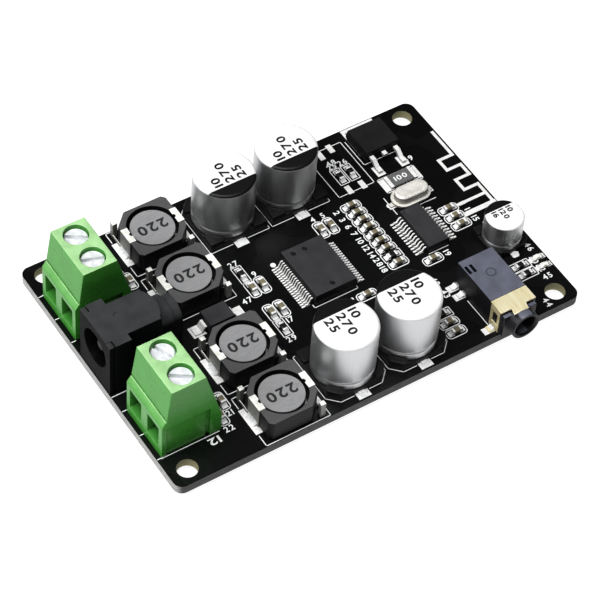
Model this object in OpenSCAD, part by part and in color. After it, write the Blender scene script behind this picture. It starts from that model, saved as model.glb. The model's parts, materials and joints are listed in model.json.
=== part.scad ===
// Stereo audio amplifier board: a populated circuit board with screw terminals, two jacks,
// power inductors and electrolytic capacitors.
// Frame: origin on the underside at the centre of the four mounting holes, +X from the screw
// terminals towards the antenna, +Y towards the rear long edge, +Z out of the populated face.

/* [Board] */
// Length of the board along X
board_w = 72.4; // [70:0.1:80]
// Depth of the board along Y
board_d = 47.5; // [46:0.1:56]
// Thickness of the board
board_t = 1.6; // [0.8:0.1:2.4]
// Radius of the board's corners
board_corner_r = 1.5; // [0.5:0.1:2.5]
// Diameter of the mounting holes
hole_d = 3.3; // [2.2:0.1:3.6]
// Mounting hole centre to the short edges
hole_inset_x = 3.1; // [2.6:0.1:3.6]
// Mounting hole centre to the long edges
hole_inset_y = 2.65; // [2.4:0.05:3]
// Thickness of the tinned copper pads
pad_t = 0.05; // [0.03:0.01:0.1]
// Length of the through-hole pins below the board
pin_out = 1.3; // [0.8:0.1:2]

/* [Chips] */
// Width of the amplifier chip's body along X
amp_w = 7.6; // [6:0.1:8.4]
// Length of the amplifier chip's body along Y
amp_l = 10.4; // [9.6:0.1:11.6]
// Height of the amplifier chip's top above its seat
amp_h = 2.3; // [1.5:0.05:3]
// Leads on each side of the amplifier chip
amp_leads = 18; // [10:1:18]
// Pitch of the amplifier chip's leads
amp_pitch = 0.5; // [0.45:0.01:0.52]
// Width of the radio chip's body along X
radio_w = 3.9; // [3.5:0.1:4.4]
// Length of the radio chip's body along Y
radio_l = 8.65; // [8.2:0.05:9]
// Height of the radio chip's top above its seat
radio_h = 1.55; // [1.2:0.05:2]
// Leads on each side of the radio chip
radio_leads = 12; // [8:1:12]
// Pitch of the radio chip's leads
radio_pitch = 0.635; // [0.55:0.005:0.65]
// Reach of a gull-wing lead past the chip's body
lead_reach = 1.35; // [1:0.05:1.6]
// Thickness of a gull-wing lead
lead_t = 0.2; // [0.1:0.01:0.3]
// Slope of the moulded bodies' sides, as an inset at top and bottom
body_draft = 0.12; // [0.05:0.01:0.2]

/* [Inductors] */
// Width of an inductor's shield along X
coil_w = 9.5; // [8.6:0.1:10]
// Depth of an inductor's shield along Y
coil_d = 9.2; // [8.6:0.1:10]
// Height of an inductor's shield above its clips
coil_h = 3.7; // [3:0.1:5]
// Radius of the hole in the shield
shield_r = 4.05; // [3.6:0.05:4.2]
// Running gap between the drum core and the shield
core_gap = 0.5; // [0.2:0.05:0.6]
// Depth of the core's top below the shield's top
core_recess = 0.35; // [0.1:0.05:0.6]
// Thickness of the metal clips
clip_t = 0.15; // [0.1:0.01:0.25]
// Width of the metal clips
clip_w = 3; // [2:0.1:3.6]
// Gap between the two inductors of a pair
coil_gap = 1.65; // [1:0.05:2.5]
// Centre line of the inductors along X
coil_x = -15.5; // [-17:0.1:-14.5]

/* [Capacitors] */
// Diameter of the large capacitor cans
cap_d = 10; // [8:0.1:10.5]
// Height of the large capacitors above their seat
cap_h = 10.55; // [7:0.05:13]
// Thickness of the large capacitors' bases
cap_base_t = 0.9; // [0.6:0.05:1.4]
// Overhang of a base past its can on each side
cap_base_over = 0.15; // [0.1:0.05:0.4]
// Gap between neighbouring capacitor bases
cap_gap = 0.97; // [0.4:0.01:2]
// Margin from the rear capacitors' bases to the rear edge
cap_rear_margin = 1.3; // [0.8:0.05:2]
// Margin from the front capacitors' bases to the front edge
cap_front_margin = 1.6; // [0.8:0.05:2]
// Middle of the two capacitor columns along X
cap_mid_x = 2.07; // [1.5:0.01:2.6]
// Diameter of the small capacitor's can
small_cap_d = 6.3; // [5:0.1:6.6]
// Height of the small capacitor above its seat
small_cap_h = 5.7; // [5:0.1:8]

/* [Screw terminals] */
// Distance between the two wires of a terminal
term_pitch = 5; // [4.8:0.01:5.1]
// Depth of a terminal along X
term_depth = 10.2; // [9.6:0.1:11]
// Height of a terminal above the board
term_h = 14.2; // [13.6:0.1:15.5]
// Height of the wire-entry sill
term_sill_h = 7; // [6.6:0.1:7.6]
// Setback of the terminal from the short edge
term_setback = 0.8; // [0.4:0.05:1.5]
// Distance of the terminals' centres from the board's middle
term_y = 12.58; // [12:0.01:13.4]
// Radius of the screw heads
screw_head_r = 1.85; // [1.5:0.05:1.95]
// Radius of the screw shanks
screw_r = 1.1; // [0.9:0.05:1.1]
// Depth of the screw heads' tops below the terminal's top
screw_sunk = 0.6; // [0.3:0.05:1]
// Running clearance round the screws
screw_gap = 0.1; // [0.05:0.01:0.15]
// Clearance beside the clamp cages
cage_gap = 0.2; // [0.15:0.01:0.3]

/* [Power jack] */
// Width of the power jack
jack_w = 9; // [8.6:0.1:9.6]
// Height of the power jack
jack_h = 11; // [10.6:0.1:12]
// Length of the power jack
jack_l = 13.5; // [13:0.1:15]
// Offset of the power jack from the board's middle
jack_y = 0.45; // [0:0.05:1]
// Radius of the plug opening
jack_bore_r = 3.15; // [2.8:0.05:3.3]
// Height of the plug opening's axis
jack_axis_h = 6.5; // [6:0.1:7]
// Radius of the centre pin
jack_pin_r = 1; // [0.6:0.05:1.25]

/* [Audio jack] */
// Width of the audio jack
audio_w = 6.45; // [6:0.05:7]
// Length of the audio jack's body
audio_l = 11.6; // [11:0.1:13]
// Height of the audio jack
audio_h = 5; // [4.9:0.05:6]
// Radius of the audio plug's bore
audio_bore_r = 1.8; // [1.25:0.05:1.85]
// Radius of the nose
nose_r = 2.45; // [2.2:0.05:2.5]
// Reach of the nose past the front frame
nose_l = 1.75; // [1:0.05:3]
// Middle of the audio jack to the short edge
audio_inset = 12.52; // [11.8:0.01:13]

/* [Small parts] */
// Length of a chip part
chip_l = 1.6; // [1.4:0.05:1.7]
// Width of a chip part
chip_w = 0.8; // [0.6:0.05:0.9]
// Height of a chip capacitor
chip_cap_h = 0.8; // [0.5:0.05:0.95]
// Height of a chip resistor
chip_res_h = 0.45; // [0.3:0.05:0.6]
// Length of a chip part's metal end
chip_end = 0.35; // [0.2:0.01:0.45]
// Pitch of the column of chip parts beside the radio chip
column_pitch = 1.675; // [1.6:0.005:1.7]
// Chip parts in that column
column_count = 9; // [5:1:9]
// Width of the antenna trace
trace_w = 0.55; // [0.3:0.05:0.8]
// Pitch of the antenna's meanders
trace_pitch = 2.4; // [2:0.05:2.6]

/* [Hidden] */

// Overcut of holes and pockets
cut = 0.1;
// Facets of round parts
round_fn = 64;
small_fn = 32;

// Faces that the parts stand on
seat = board_t + pad_t;
left_edge = -board_w / 2;
right_edge = board_w / 2;
rear_edge = board_d / 2;
front_edge = -board_d / 2;

// Chips
amp_at = [3.15, 0.08];
amp_lead_w = 0.23;
radio_inset = 13.85;
radio_gap = 0.52;
radio_lead_w = 0.25;
body_standoff = 0.1;
lead_foot = 0.55;
lead_pad_w = 0.08;
lead_pad_out = 0.55;
mark_r = 0.45;
mark_deep = 0.12;
dimple_in = 1.7;
ejector_in = 1.25;

// Inductors, from the rear edge to the front
coil_inner_y = coil_d / 2 + 3.15;
coil_outer_y = coil_inner_y + coil_d + coil_gap;
coil_ys = [coil_outer_y, coil_inner_y, -coil_inner_y, -coil_outer_y];
coil_big_chamfer = 2.2;
coil_small_chamfer = 0.6;
core_r = shield_r - core_gap;
core_flange_t = 0.9;
core_hub_r = 1.7;
winding_gap = 0.1;
clip_top_l = 1;
clip_foot_l = 2.3;
clip_notch_r = 0.35;
clip_arm_h = 0.6;
clip_ear = [0.85, 0.8, 2.85];
coil_pad = [2.6, 5.1];
coil_pad_out = 1.1;

// Large capacitors: rear left, rear right, front left, front right
cap_base_w = cap_d + 2 * cap_base_over;
cap_dx = (cap_base_w + cap_gap) / 2;
cap_rear_y = rear_edge - cap_rear_margin - cap_base_w / 2;
cap_front_y = front_edge + cap_front_margin + cap_base_w / 2;
cap_at = [
    [cap_mid_x - cap_dx, cap_rear_y], [cap_mid_x + cap_dx, cap_rear_y],
    [cap_mid_x - cap_dx, cap_front_y], [cap_mid_x + cap_dx, cap_front_y]
];
cap_turn = [0, 0, 180, 180];
cap_chamfer = 1.6;
cap_corner_h = 0.7;
cap_corner_gap = 0.1;
cap_groove_h = 1.5;
cap_groove_deep = 0.22;
cap_edge_r = 0.45;
cap_lead = [1.1, 0.2];
cap_lead_in = 1.6;
cap_lead_out = 0.45;
cap_pad = [2.2, 2.9];
cap_pad_out = 1.3;

// Small capacitor
small_base_w = small_cap_d + 2 * cap_base_over;
small_cap_at = [right_edge - 4.15, -8.15];
small_base_t = 0.7;
small_lead_out = 0.35;
small_lead = [0.7, cap_lead[1]];
small_lead_in = 1;
small_chamfer = 1;
small_corner_h = 0.5;
small_edge_r = 0.35;
small_groove_h = 1.1;
small_groove_deep = 0.15;
small_pad = [1.2, 1.8];

// Screw terminals
poles = 2;
term_wall = 0.05;
term_w = poles * term_pitch + 2 * term_wall;
term_x = left_edge + term_setback;
term_ys = [term_y, -term_y];
term_step = 0.7;
term_step_h = 1;
term_crease = 0.15;
term_top_front = 1.57;
term_top_back = 7.34;
term_back_h = 4;
term_draft = 0.13;
term_rib = 0.9;
term_relief = 0.22;
term_relief_end = 8.3;
term_relief_h = 6.3;
term_key = [0.7, 0.5];
pole_x = 4.55;
pole_ys = [term_pitch / 2, -term_pitch / 2];
entry_w = 3.2;
entry_low = 1.7;
entry_floor = 2.3;
entry_high = 6;
head_r = screw_head_r + screw_gap;
head_h = 1.8;
head_seat_h = term_h - screw_sunk - head_h;
collar_t = 0.9;
slot_w = 0.65;
slot_deep = 0.9;
slot_angles = [-34, -20, 110, -34];
pocket_front = 2.3;
pocket_back = 7.4;
pocket_w = 3.8;
pocket_h = head_seat_h - collar_t;
bar_low = 6.4;
bar_t = 0.6;
bar_w = 2;
bar_start = pocket_front + 0.5;
cage_wall = 0.45;
cage_l = 3.8;
cage_w = pocket_w - 2 * cage_gap;
cage_jaw_t = 0.6;
cage_plate_t = 1.2;
cage_over_bar = 0.3;
cage_low = 1.3;
cage_plate_low = bar_low + bar_t + cage_over_bar;
screw_taper = [0.3, 0.4];
head_edge = 0.2;
screw_tip_h = bar_low + bar_t + screw_gap;
pin_size = [bar_t, 1];
pin_hole_r = 0.75;
joint_r = 1.05;
joint_tip_r = 0.72;
joint_h = 0.9;

// Power jack
jack_x = left_edge + 0.1;
jack_flange = [0.8, jack_w - 0.2, jack_h - 0.15];
jack_groove = [0.2, jack_w - 0.8, jack_h - 0.45];
jack_block_end = 3.7;
jack_body_w = jack_w - 0.8;
jack_top_w = jack_w - 2.6;
jack_shoulder_h = 7.6;
jack_top_end = 10.4;
jack_tail_drop = 0.9;
jack_tail_w = jack_top_w - 0.3;
jack_tail_round = 2.6;
jack_tail_step = 0.35;
jack_tail_end_l = 1.6;
jack_bore_l = 9;
jack_wall = 3.4;
jack_pin_collar = 0.7;
jack_pin_start = 0.8;
jack_tab_t = 0.5;
jack_tab_w = 2.6;
jack_tab_h = jack_axis_h + 1.5;
jack_pocket_gap = 0.1;
jack_pocket = [jack_tab_t, jack_tab_w + 2 * jack_pocket_gap, jack_tab_h + jack_pocket_gap];
jack_leg_w = 2;
jack_slot = [jack_tab_t + 0.3, jack_leg_w + 0.3];
jack_channel = [1.8, 8.4];
jack_channel_w = 2.6;
jack_channel_top = jack_axis_h - jack_bore_r + 0.4;
jack_leaf_t = 0.25;
jack_leaf_w = 2;
leaf_foot_h = 1.6;
leaf_bow = 3.4;
leaf_tip = 0.6;
leaf_fall = 1;
leaf_gap = 0.05;
jack_mark = [0.3, 0.7];
jack_mark_r = 0.4;
jack_mark_deep = 0.15;
jack_pin_round = 0.5;
jack_tail_x = jack_bore_l + jack_wall;
jack_switch_x = 8.4;
jack_switch_y = -3.55;
jack_switch_l = 1.6;
jack_switch_t = 0.4;
jack_switch_h = 3;
jack_joint_r = 1.55;
jack_joint_tip_r = 1.2;

// Audio jack, from its body's front face inwards
audio_x = right_edge - audio_inset;
audio_y = front_edge + 0.15;
frame_l = 0.7;
frame_h = 4.3;
frame_gap_w = 3;
frame_gap_more = 0.35;
sleeve_t = 0.25;
sleeve_l = 2.75;
tongue_w = 2.7;
tongue_out = 0.65;
tongue_lip = 0.3;
leg_l = 2.3;
leg_start = 0.25;
leg_window = [1.2, 2.2];
leg_foot = 1;
nose_bore_l = 10;
nose_flare = 0.3;
nose_flare_l = 0.4;
spring_ys = [10.95, 9.1];
spring_w = 0.9;
spring_h = 0.6;
spring_foot = 1.2;
spring_gap = 0.05;
spring_pad_w = 1.3;
spring_pad_out = 0.6;
top_slot = [0.45, 1.55, 0.8];
top_slot_xs = [-2.68, -1.81];
top_slot_y = audio_l - 2.1;

// Regulator
reg_x = right_edge - 10.6;
reg_w = 6.5;
reg_l = 6;
reg_h = 2.3;
reg_tab_out = 1.1;
reg_tab_w = 5.2;
reg_tab_t = 0.5;
reg_tab_start = 1.2;
reg_draft = 0.2;
reg_foot = 0.9;
reg_edge_gap = 1;
reg_front = rear_edge - reg_edge_gap - reg_tab_out - reg_l;
reg_lead_dx = 2.285;
reg_lead_w = 0.75;
reg_lead_z = 1.1;
reg_lead_l = 2.9;
reg_stub_l = 0.8;
reg_pad = [1.5, 2.2];
reg_pad_in = 0.6;
tab_pad_under = 5.2;
tab_pad_side = 0.45;
tab_pad_edge = 0.15;

// Power resistor
big_res = [5, 2.5, 0.55];
big_res_end = 0.6;
big_res_gap = 1.3;
big_res_pad_l = 1.6;
big_res_pad_out = 0.2;
big_res_y = reg_front - reg_lead_l - big_res_gap - big_res[1] / 2;
big_res_at = [right_edge - 10.85, big_res_y, 0];

// Crystal
crystal_inset = 11.7;
crystal_gap = 0.9;
crystal_can_l = 5.9;
crystal_can_w = 2.9;
crystal_brim = 0.5;
crystal_brim_t = 0.25;
crystal_header_t = 0.35;
crystal_lead_t = 0.25;
crystal_h = 2.2;
crystal_round = 0.35;
crystal_lead_out = 0.5;
crystal_lead_w = 0.7;
crystal_lead_in = 1.5;
crystal_step = 0.4;
crystal_pad = [1.4, 1.2];
crystal_brim_low = seat + crystal_lead_t + crystal_header_t;
crystal_half_w = crystal_can_w / 2 + crystal_brim;
crystal_at = [right_edge - crystal_inset, big_res_y - big_res[1] / 2 - crystal_gap - crystal_half_w];

// Radio chip
radio_at = [right_edge - radio_inset, crystal_at[1] - crystal_half_w - radio_gap - radio_l / 2];

// Diode
diode_l = 4.5;
diode_w = 3.5;
diode_h = 2.2;
diode_lead_w = 1.6;
diode_reach = 2;
diode_lead_t = 0.25;
diode_foot = 1.1;
diode_gap = 3.15;
diode_pad_w = 2.2;
diode_pad_in = 0.7;
diode_at = [jack_x + jack_l + diode_gap + diode_reach + diode_l / 2, -0.1];

// Chip parts: middle and turn of each
column_x = right_edge - 20.9;
column_top = 9.25;
column_resistor = 7;
column_at = [for (i = [0 : column_count - 1]) [column_x, column_top - i * column_pitch, 0]];
filter_x = -7.1;
filter_dx = 1.82;
filter_y = 2.72;
snub_y = 6.03;
bypass_at = [8.55, 7.5];
match_at = [right_edge - 7.85, 1.05];
match_pitch = 1.82;
row_gap = 1.6;
row_at = [cap_at[3][0] + cap_base_w / 2 + row_gap + chip_l / 2, front_edge + 5.7];
row_pitch = 1.95;
light_x = right_edge - 1.65;
light_gap = 3.15;
light_ys = [-14.25, -16.1];
bridge_at = [reg_x - 8.35, rear_edge - 8.3];
bridge_dx = 2;
speaker_left = term_x + term_depth;
speaker_gap = coil_x - coil_w / 2 - speaker_left;
speaker_at = [
    for (c = [[0.53, 13.5], [0.54, -13.2], [0.22, -15.6]])
        [speaker_left + c[0] * speaker_gap, c[1], 90]
];
cap_chips = concat(
    [for (i = [0 : column_count - 1]) if (i != column_resistor) column_at[i]],
    [for (s = [-1, 1], k = [0, 1]) [filter_x + k * filter_dx, s * filter_y, 90]],
    [for (k = [0, 1]) [bypass_at[0] + k * filter_dx, bypass_at[1], 90]],
    [for (k = [0 : 2]) [match_at[0], match_at[1] - k * match_pitch, 0]],
    [for (k = [0, 1]) [row_at[0], row_at[1] - k * row_pitch, 0]],
    speaker_at,
    [[radio_at[0] - 1.95, radio_at[1] - radio_l / 2 - 1.275, 0], [7.5, -7.15, 0]]
);
res_chips = concat(
    [for (i = [0 : column_count - 1]) if (i == column_resistor) column_at[i]],
    [for (s = [-1, 1]) [filter_x, s * snub_y, 90]],
    [for (k = [0, 1]) [bridge_at[0] + k * bridge_dx, bridge_at[1], 90]],
    [for (y = light_ys) [light_x - light_gap, y, 0]],
    [[row_at[0], row_at[1] + row_pitch, 0]]
);
light_chips = [for (y = light_ys) [light_x, y, 0]];
end_rim = 0.02;
chip_pad = [0.9, 0.95];
chip_pad_dx = chip_l / 2 + 0.2;
lens_inset = 0.12;
light_h = 0.6;
light_base_h = 0.3;

// Antenna
trace_x_out = right_edge - 0.6;
trace_x_in = right_edge - 3.25;
trace_top = 16;
trace_y0 = 10.4;
trace_turns = 4;
trace_end_y = -1.2;
feed_y = match_at[1];
feed_x = match_at[0] + chip_pad_dx + chip_pad[0] / 2 + 0.1;
ground_w = 0.9;

// Footprint pads of the empty four-pin outline behind the chip column
outline_pads = [
    for (d = [[-0.25, 5.2], [1.95, 5.8], [-0.25, -3.1], [2.25, -3.2]])
        [bridge_at[0] + d[0], bridge_at[1] + d[1]]
];
outline_pad = [0.95, 1.8];

// Points of a quarter round from angle a0 to a1 about [x, y]
function quarter(x, y, r, a0, a1) = [
    for (k = [0 : 4]) [x + r * cos(a0 + (a1 - a0) * k / 4), y + r * sin(a0 + (a1 - a0) * k / 4)]
];

// Section [x, z] drawn out along Y, middle at y = 0
module along_y(points, length) {
    translate([0, length / 2, 0])
        rotate([90, 0, 0])
            linear_extrude(length)
                polygon(points);
}

// Section [y, z] drawn out along X from x = 0
module along_x(points, length) {
    rotate([90, 0, 90])
        linear_extrude(length)
            polygon(points);
}

// Block centred in X and Y, standing on z = low
module block(size, low = 0) {
    translate([-size[0] / 2, -size[1] / 2, low])
        cube(size);
}

// Plate with round corners, standing on z = 0
module round_plate(w, d, t, r) {
    block([w - 2 * r, d, t]);
    block([w, d - 2 * r, t]);
    for (x = [-1, 1], y = [-1, 1])
        translate([x * (w / 2 - r), y * (d / 2 - r), 0])
            cylinder(r = r, h = t, $fn = round_fn);
}

// Plate with full-round ends, long side along X
module stadium(l, w, t) {
    block([l - w, w, t]);
    for (x = [-1, 1])
        translate([x * (l - w) / 2, 0, 0])
            cylinder(d = w, h = t, $fn = round_fn);
}

// Half section of a moulded body: sloped above and below a flat parting band
function moulded_section(w, h, low, band_z, band_t, draft) = [
    [-w / 2 + draft, low], [w / 2 - draft, low],
    [w / 2, band_z - band_t / 2], [w / 2, band_z + band_t / 2],
    [w / 2 - draft, h], [-w / 2 + draft, h],
    [-w / 2, band_z + band_t / 2], [-w / 2, band_z - band_t / 2]
];

// Moulded body with sloped sides
module moulded_body(w, l, h, low, band_z, band_t, draft = body_draft) {
    intersection() {
        along_y(moulded_section(w, h, low, band_z, band_t, draft), l + 1);
        translate([-w / 2 - 0.5, 0, 0])
            along_x(moulded_section(l, h, low, band_z, band_t, draft), w + 1);
    }
}

// Side view [x, z] of a gull-wing lead: out of the body at x = start, toe at x = start + reach
function gull(start, reach, z, t, foot) = [
    [start, z + t / 2], [start + (reach - foot) * 0.45, z + t / 2],
    [start + reach - foot, t], [start + reach, t],
    [start + reach, 0], [start + reach - foot - t * 0.4, 0],
    [start + (reach - foot) * 0.45 - t * 0.4, z - t / 2], [start, z - t / 2]
];

// Both rows of gull-wing leads of a chip
module lead_rows(w, h, count, pitch, lead_w) {
    for (side = [0, 180], i = [0 : count - 1])
        rotate([0, 0, side])
            translate([0, (i - (count - 1) / 2) * pitch, 0])
                along_y(gull(w / 2, lead_reach, h / 2, lead_t, lead_foot), lead_w);
}

// Pads under both rows of leads
module lead_pads(w, count, pitch, lead_w) {
    pad_l = lead_foot + lead_pad_out + 0.3;
    toe = w / 2 + lead_reach + lead_pad_out;
    for (x = [-1, 1], i = [0 : count - 1])
        translate([x * (toe - pad_l / 2), (i - (count - 1) / 2) * pitch, 0])
            block([pad_l, lead_w + lead_pad_w, pad_t]);
}

// Puts children at each capacitor, with the notched side of its base outwards
module at_cap(i) {
    translate([cap_at[i][0], cap_at[i][1], seat])
        rotate([0, 0, cap_turn[i]])
            children();
}

// Puts children at a terminal's front foot, X inwards
module at_terminal(i) {
    translate([term_x, term_ys[i], board_t])
        children();
}

// Puts children at a pole's screw axis; poles 0 and 1 are in the rear terminal
module at_pole(i) {
    at_terminal(floor(i / poles))
        translate([pole_x, pole_ys[i % poles], 0])
            children();
}

// Puts children at the power jack's front foot, X inwards
module at_jack() {
    translate([jack_x, jack_y, board_t])
        children();
}

// Puts children at the audio jack's front foot, Y inwards
module at_audio() {
    translate([audio_x, audio_y, seat])
        children();
}

// Board

module circuit_board() {
    color("#15171a")
        difference() {
            round_plate(board_w, board_d, board_t, board_corner_r);
            for (x = [-1, 1], y = [-1, 1])
                translate([x * (board_w / 2 - hole_inset_x), y * (board_d / 2 - hole_inset_y), -cut])
                    cylinder(d = hole_d, h = board_t + 2 * cut, $fn = round_fn);
            for (i = [0 : 2 * poles - 1])
                at_pole(i)
                    translate([pocket_back - bar_t / 2 - pole_x, 0, -board_t - cut])
                        cylinder(r = pin_hole_r, h = board_t + 2 * cut, $fn = small_fn);
            at_jack()
                for (x = [jack_tail_x + jack_tab_t / 2, jack_channel[1] - jack_tab_t / 2])
                    translate([x, 0, 0])
                        block([jack_slot[0], jack_slot[1], board_t + 2 * cut], -board_t - cut);
            at_jack()
                translate([jack_switch_x, jack_switch_y, 0])
                    block([jack_switch_l + 0.3, jack_switch_t + 0.3, board_t + 2 * cut], -board_t - cut);
        }
}

module chip_pads(at) {
    for (c = at)
        translate([c[0], c[1], 0])
            rotate([0, 0, c[2]])
                for (x = [-1, 1])
                    translate([x * chip_pad_dx, 0, 0])
                        block([chip_pad[0], chip_pad[1], pad_t]);
}

module solder_pads() {
    color("#d9dadb")
        translate([0, 0, board_t]) {
            translate(amp_at)
                lead_pads(amp_w, amp_leads, amp_pitch, amp_lead_w);
            translate(radio_at)
                lead_pads(radio_w, radio_leads, radio_pitch, radio_lead_w);
            for (y = coil_ys, x = [-1, 1])
                translate([coil_x + x * (coil_w / 2 + coil_pad_out - coil_pad[0] / 2), y, 0])
                    block([coil_pad[0], coil_pad[1], pad_t]);
            for (at = cap_at, s = [-1, 1])
                translate([at[0], at[1] + s * (cap_base_w / 2 + cap_pad_out - cap_pad[1] / 2), 0])
                    block([cap_pad[0], cap_pad[1], pad_t]);
            for (s = [-1, 1])
                translate([small_cap_at[0], small_cap_at[1] + s * small_base_w / 2, 0])
                    block([small_pad[0], small_pad[1], pad_t]);
            for (x = [-1, 1])
                translate([diode_at[0] + x * (diode_l / 2 + diode_reach - diode_pad_in), diode_at[1], 0])
                    block([diode_pad_w, diode_pad_w, pad_t]);
            for (x = [-1, 1])
                translate([big_res_at[0] + x * (big_res[0] / 2 + big_res_pad_out), big_res_at[1], 0])
                    block([big_res_pad_l, big_res[1] + big_res_pad_out, pad_t]);
            for (x = [-1, 1])
                translate([crystal_at[0] + x * (crystal_can_l / 2 + crystal_brim), crystal_at[1], 0])
                    block([crystal_pad[0], crystal_pad[1], pad_t]);
            for (x = [-1, 1])
                translate([reg_x + x * reg_lead_dx, reg_front - reg_lead_l + reg_pad_in, 0])
                    block([reg_pad[0], reg_pad[1], pad_t]);
            translate([reg_x, rear_edge - tab_pad_edge - (reg_tab_out + tab_pad_under) / 2, 0])
                block([reg_tab_w + 2 * tab_pad_side, reg_tab_out + tab_pad_under, pad_t]);
            for (y = concat(spring_ys, [leg_start + leg_l / 2]))
                translate([audio_x - audio_w / 2 - (spring_foot + spring_pad_out) / 2, audio_y + y, 0])
                    block([spring_foot + spring_pad_out, spring_pad_w, pad_t]);
            for (at = outline_pads)
                translate(at)
                    block([outline_pad[0], outline_pad[1], pad_t]);
            chip_pads(cap_chips);
            chip_pads(res_chips);
            chip_pads(light_chips);
        }
}

// Straight stretch of trace from a to b
module trace(a, b, w) {
    translate([(a[0] + b[0]) / 2, (a[1] + b[1]) / 2, board_t])
        block([abs(a[0] - b[0]) + w, abs(a[1] - b[1]) + w, pad_t]);
}

module antenna_trace() {
    ys = [for (i = [0 : trace_turns - 1]) trace_y0 - i * trace_pitch];
    xs = [trace_x_out, trace_x_in];
    path = concat(
        [[trace_x_out, trace_top]],
        [for (i = [0 : trace_turns - 1], k = [0, 1]) [xs[(i + k) % 2], ys[i]]],
        [[trace_x_out, trace_end_y]]
    );
    color("#e4e5e4") {
        for (i = [0 : len(path) - 2])
            trace(path[i], path[i + 1], trace_w);
        trace([feed_x + trace_w / 2, feed_y], [trace_x_out, feed_y], trace_w);
        trace([feed_x + ground_w / 2, trace_end_y], [trace_x_out, trace_end_y], ground_w);
    }
}

// Cone of solder under the board round a pin of the given section
module solder_cone(base_r, tip_r, pin) {
    difference() {
        translate([0, 0, -joint_h])
            cylinder(r1 = tip_r, r2 = base_r, h = joint_h, $fn = small_fn);
        block([pin[0], pin[1], joint_h + 2 * cut], -joint_h - cut);
    }
}

module solder_joints() {
    color("#c8cacc")
        translate([0, 0, -board_t]) {
            for (i = [0 : 2 * poles - 1])
                at_pole(i)
                    translate([pocket_back - bar_t / 2 - pole_x, 0, 0])
                        solder_cone(joint_r, joint_tip_r, pin_size);
            at_jack()
                for (x = [jack_tail_x + jack_tab_t / 2, jack_channel[1] - jack_tab_t / 2])
                    translate([x, 0, 0])
                        solder_cone(jack_joint_r, jack_joint_tip_r, [jack_tab_t, jack_leg_w]);
            at_jack()
                translate([jack_switch_x, jack_switch_y, 0])
                    solder_cone(jack_joint_r, jack_joint_tip_r, [jack_switch_l, jack_switch_t]);
        }
}

// Chips

// Round mould marks in a chip's top
module mould_marks(h, places) {
    for (at = places)
        translate([at[0], at[1], h - mark_deep])
            cylinder(r = mark_r, h = mark_deep + cut, $fn = small_fn);
}

module amplifier_chip_body() {
    color("#3a3b3e")
        translate([amp_at[0], amp_at[1], seat])
            difference() {
                moulded_body(amp_w, amp_l, amp_h, body_standoff, amp_h / 2, lead_t);
                mould_marks(amp_h, [
                    [-amp_w / 2 + dimple_in, amp_l / 2 - ejector_in],
                    [0, amp_l / 2 - ejector_in],
                    [0, -amp_l / 2 + ejector_in]
                ]);
            }
}

module amplifier_chip_leads() {
    color("#d2d3d5")
        translate([amp_at[0], amp_at[1], seat])
            lead_rows(amp_w, amp_h, amp_leads, amp_pitch, amp_lead_w);
}

module radio_chip_body() {
    color("#3c3d40")
        translate([radio_at[0], radio_at[1], seat])
            difference() {
                moulded_body(radio_w, radio_l, radio_h, body_standoff, radio_h / 2, lead_t);
                mould_marks(radio_h, [[-radio_w / 2 + 2 * mark_r, radio_l / 2 - 2 * mark_r]]);
            }
}

module radio_chip_leads() {
    color("#d2d3d5")
        translate([radio_at[0], radio_at[1], seat])
            lead_rows(radio_w, radio_h, radio_leads, radio_pitch, radio_lead_w);
}

// Inductors

// Outline of a shield: two opposite corners cut wide, the other two cut small
function shield_outline(w, d, big, small) = [
    [-w / 2 + small, -d / 2], [w / 2 - big, -d / 2],
    [w / 2, -d / 2 + big], [w / 2, d / 2 - small],
    [w / 2 - small, d / 2], [-w / 2 + big, d / 2],
    [-w / 2, d / 2 - big], [-w / 2, -d / 2 + small]
];

module at_coil(i) {
    translate([coil_x, coil_ys[i], seat + clip_t])
        children();
}

module inductor_shield(i) {
    color("#6c6d70")
        at_coil(i)
            difference() {
                linear_extrude(coil_h)
                    polygon(shield_outline(coil_w, coil_d, coil_big_chamfer, coil_small_chamfer));
                translate([0, 0, -cut])
                    cylinder(r = shield_r, h = coil_h + 2 * cut, $fn = round_fn);
            }
}

module inductor_core(i) {
    core_h = coil_h - core_recess;
    color("#8b8c90")
        at_coil(i)
            rotate_extrude($fn = round_fn)
                polygon([
                    [0, 0], [core_r, 0], [core_r, core_flange_t], [core_hub_r, core_flange_t],
                    [core_hub_r, core_h - core_flange_t], [core_r, core_h - core_flange_t],
                    [core_r, core_h], [0, core_h]
                ]);
}

module inductor_coils() {
    coil_in = core_hub_r + winding_gap;
    coil_out = core_r - 4 * winding_gap;
    low = core_flange_t + winding_gap;
    high = coil_h - core_recess - core_flange_t - winding_gap;
    color("#b5683a")
        for (i = [0 : 3])
            at_coil(i)
                rotate_extrude($fn = round_fn)
                    polygon([[coil_in, low], [coil_out, low], [coil_out, high], [coil_in, high]]);
}

// One clip, folded round the +X side of a shield, with an arm to an ear in the shield's cut corner
module coil_clip() {
    side = coil_w / 2;
    top = coil_h + clip_t;
    translate([side, -coil_d / 2, -clip_t])
        cube([clip_t, coil_d / 2, clip_arm_h]);
    translate([side + clip_t - clip_ear[0], -coil_d / 2, -clip_t])
        cube(clip_ear);
    difference() {
        along_y([
            [side - clip_foot_l, -clip_t], [side + clip_t, -clip_t],
            [side + clip_t, top], [side - clip_top_l, top],
            [side - clip_top_l, coil_h], [side, coil_h], [side, 0], [side - clip_foot_l, 0]
        ], clip_w);
        translate([side - clip_top_l, 0, coil_h - cut])
            cylinder(r = clip_notch_r, h = clip_t + 2 * cut, $fn = small_fn);
    }
}

module inductor_clips() {
    color("#dcdcda")
        for (i = [0 : 3], turn = [0, 180])
            at_coil(i)
                rotate([0, 0, turn])
                    coil_clip();
}

// Electrolytic capacitors

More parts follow.
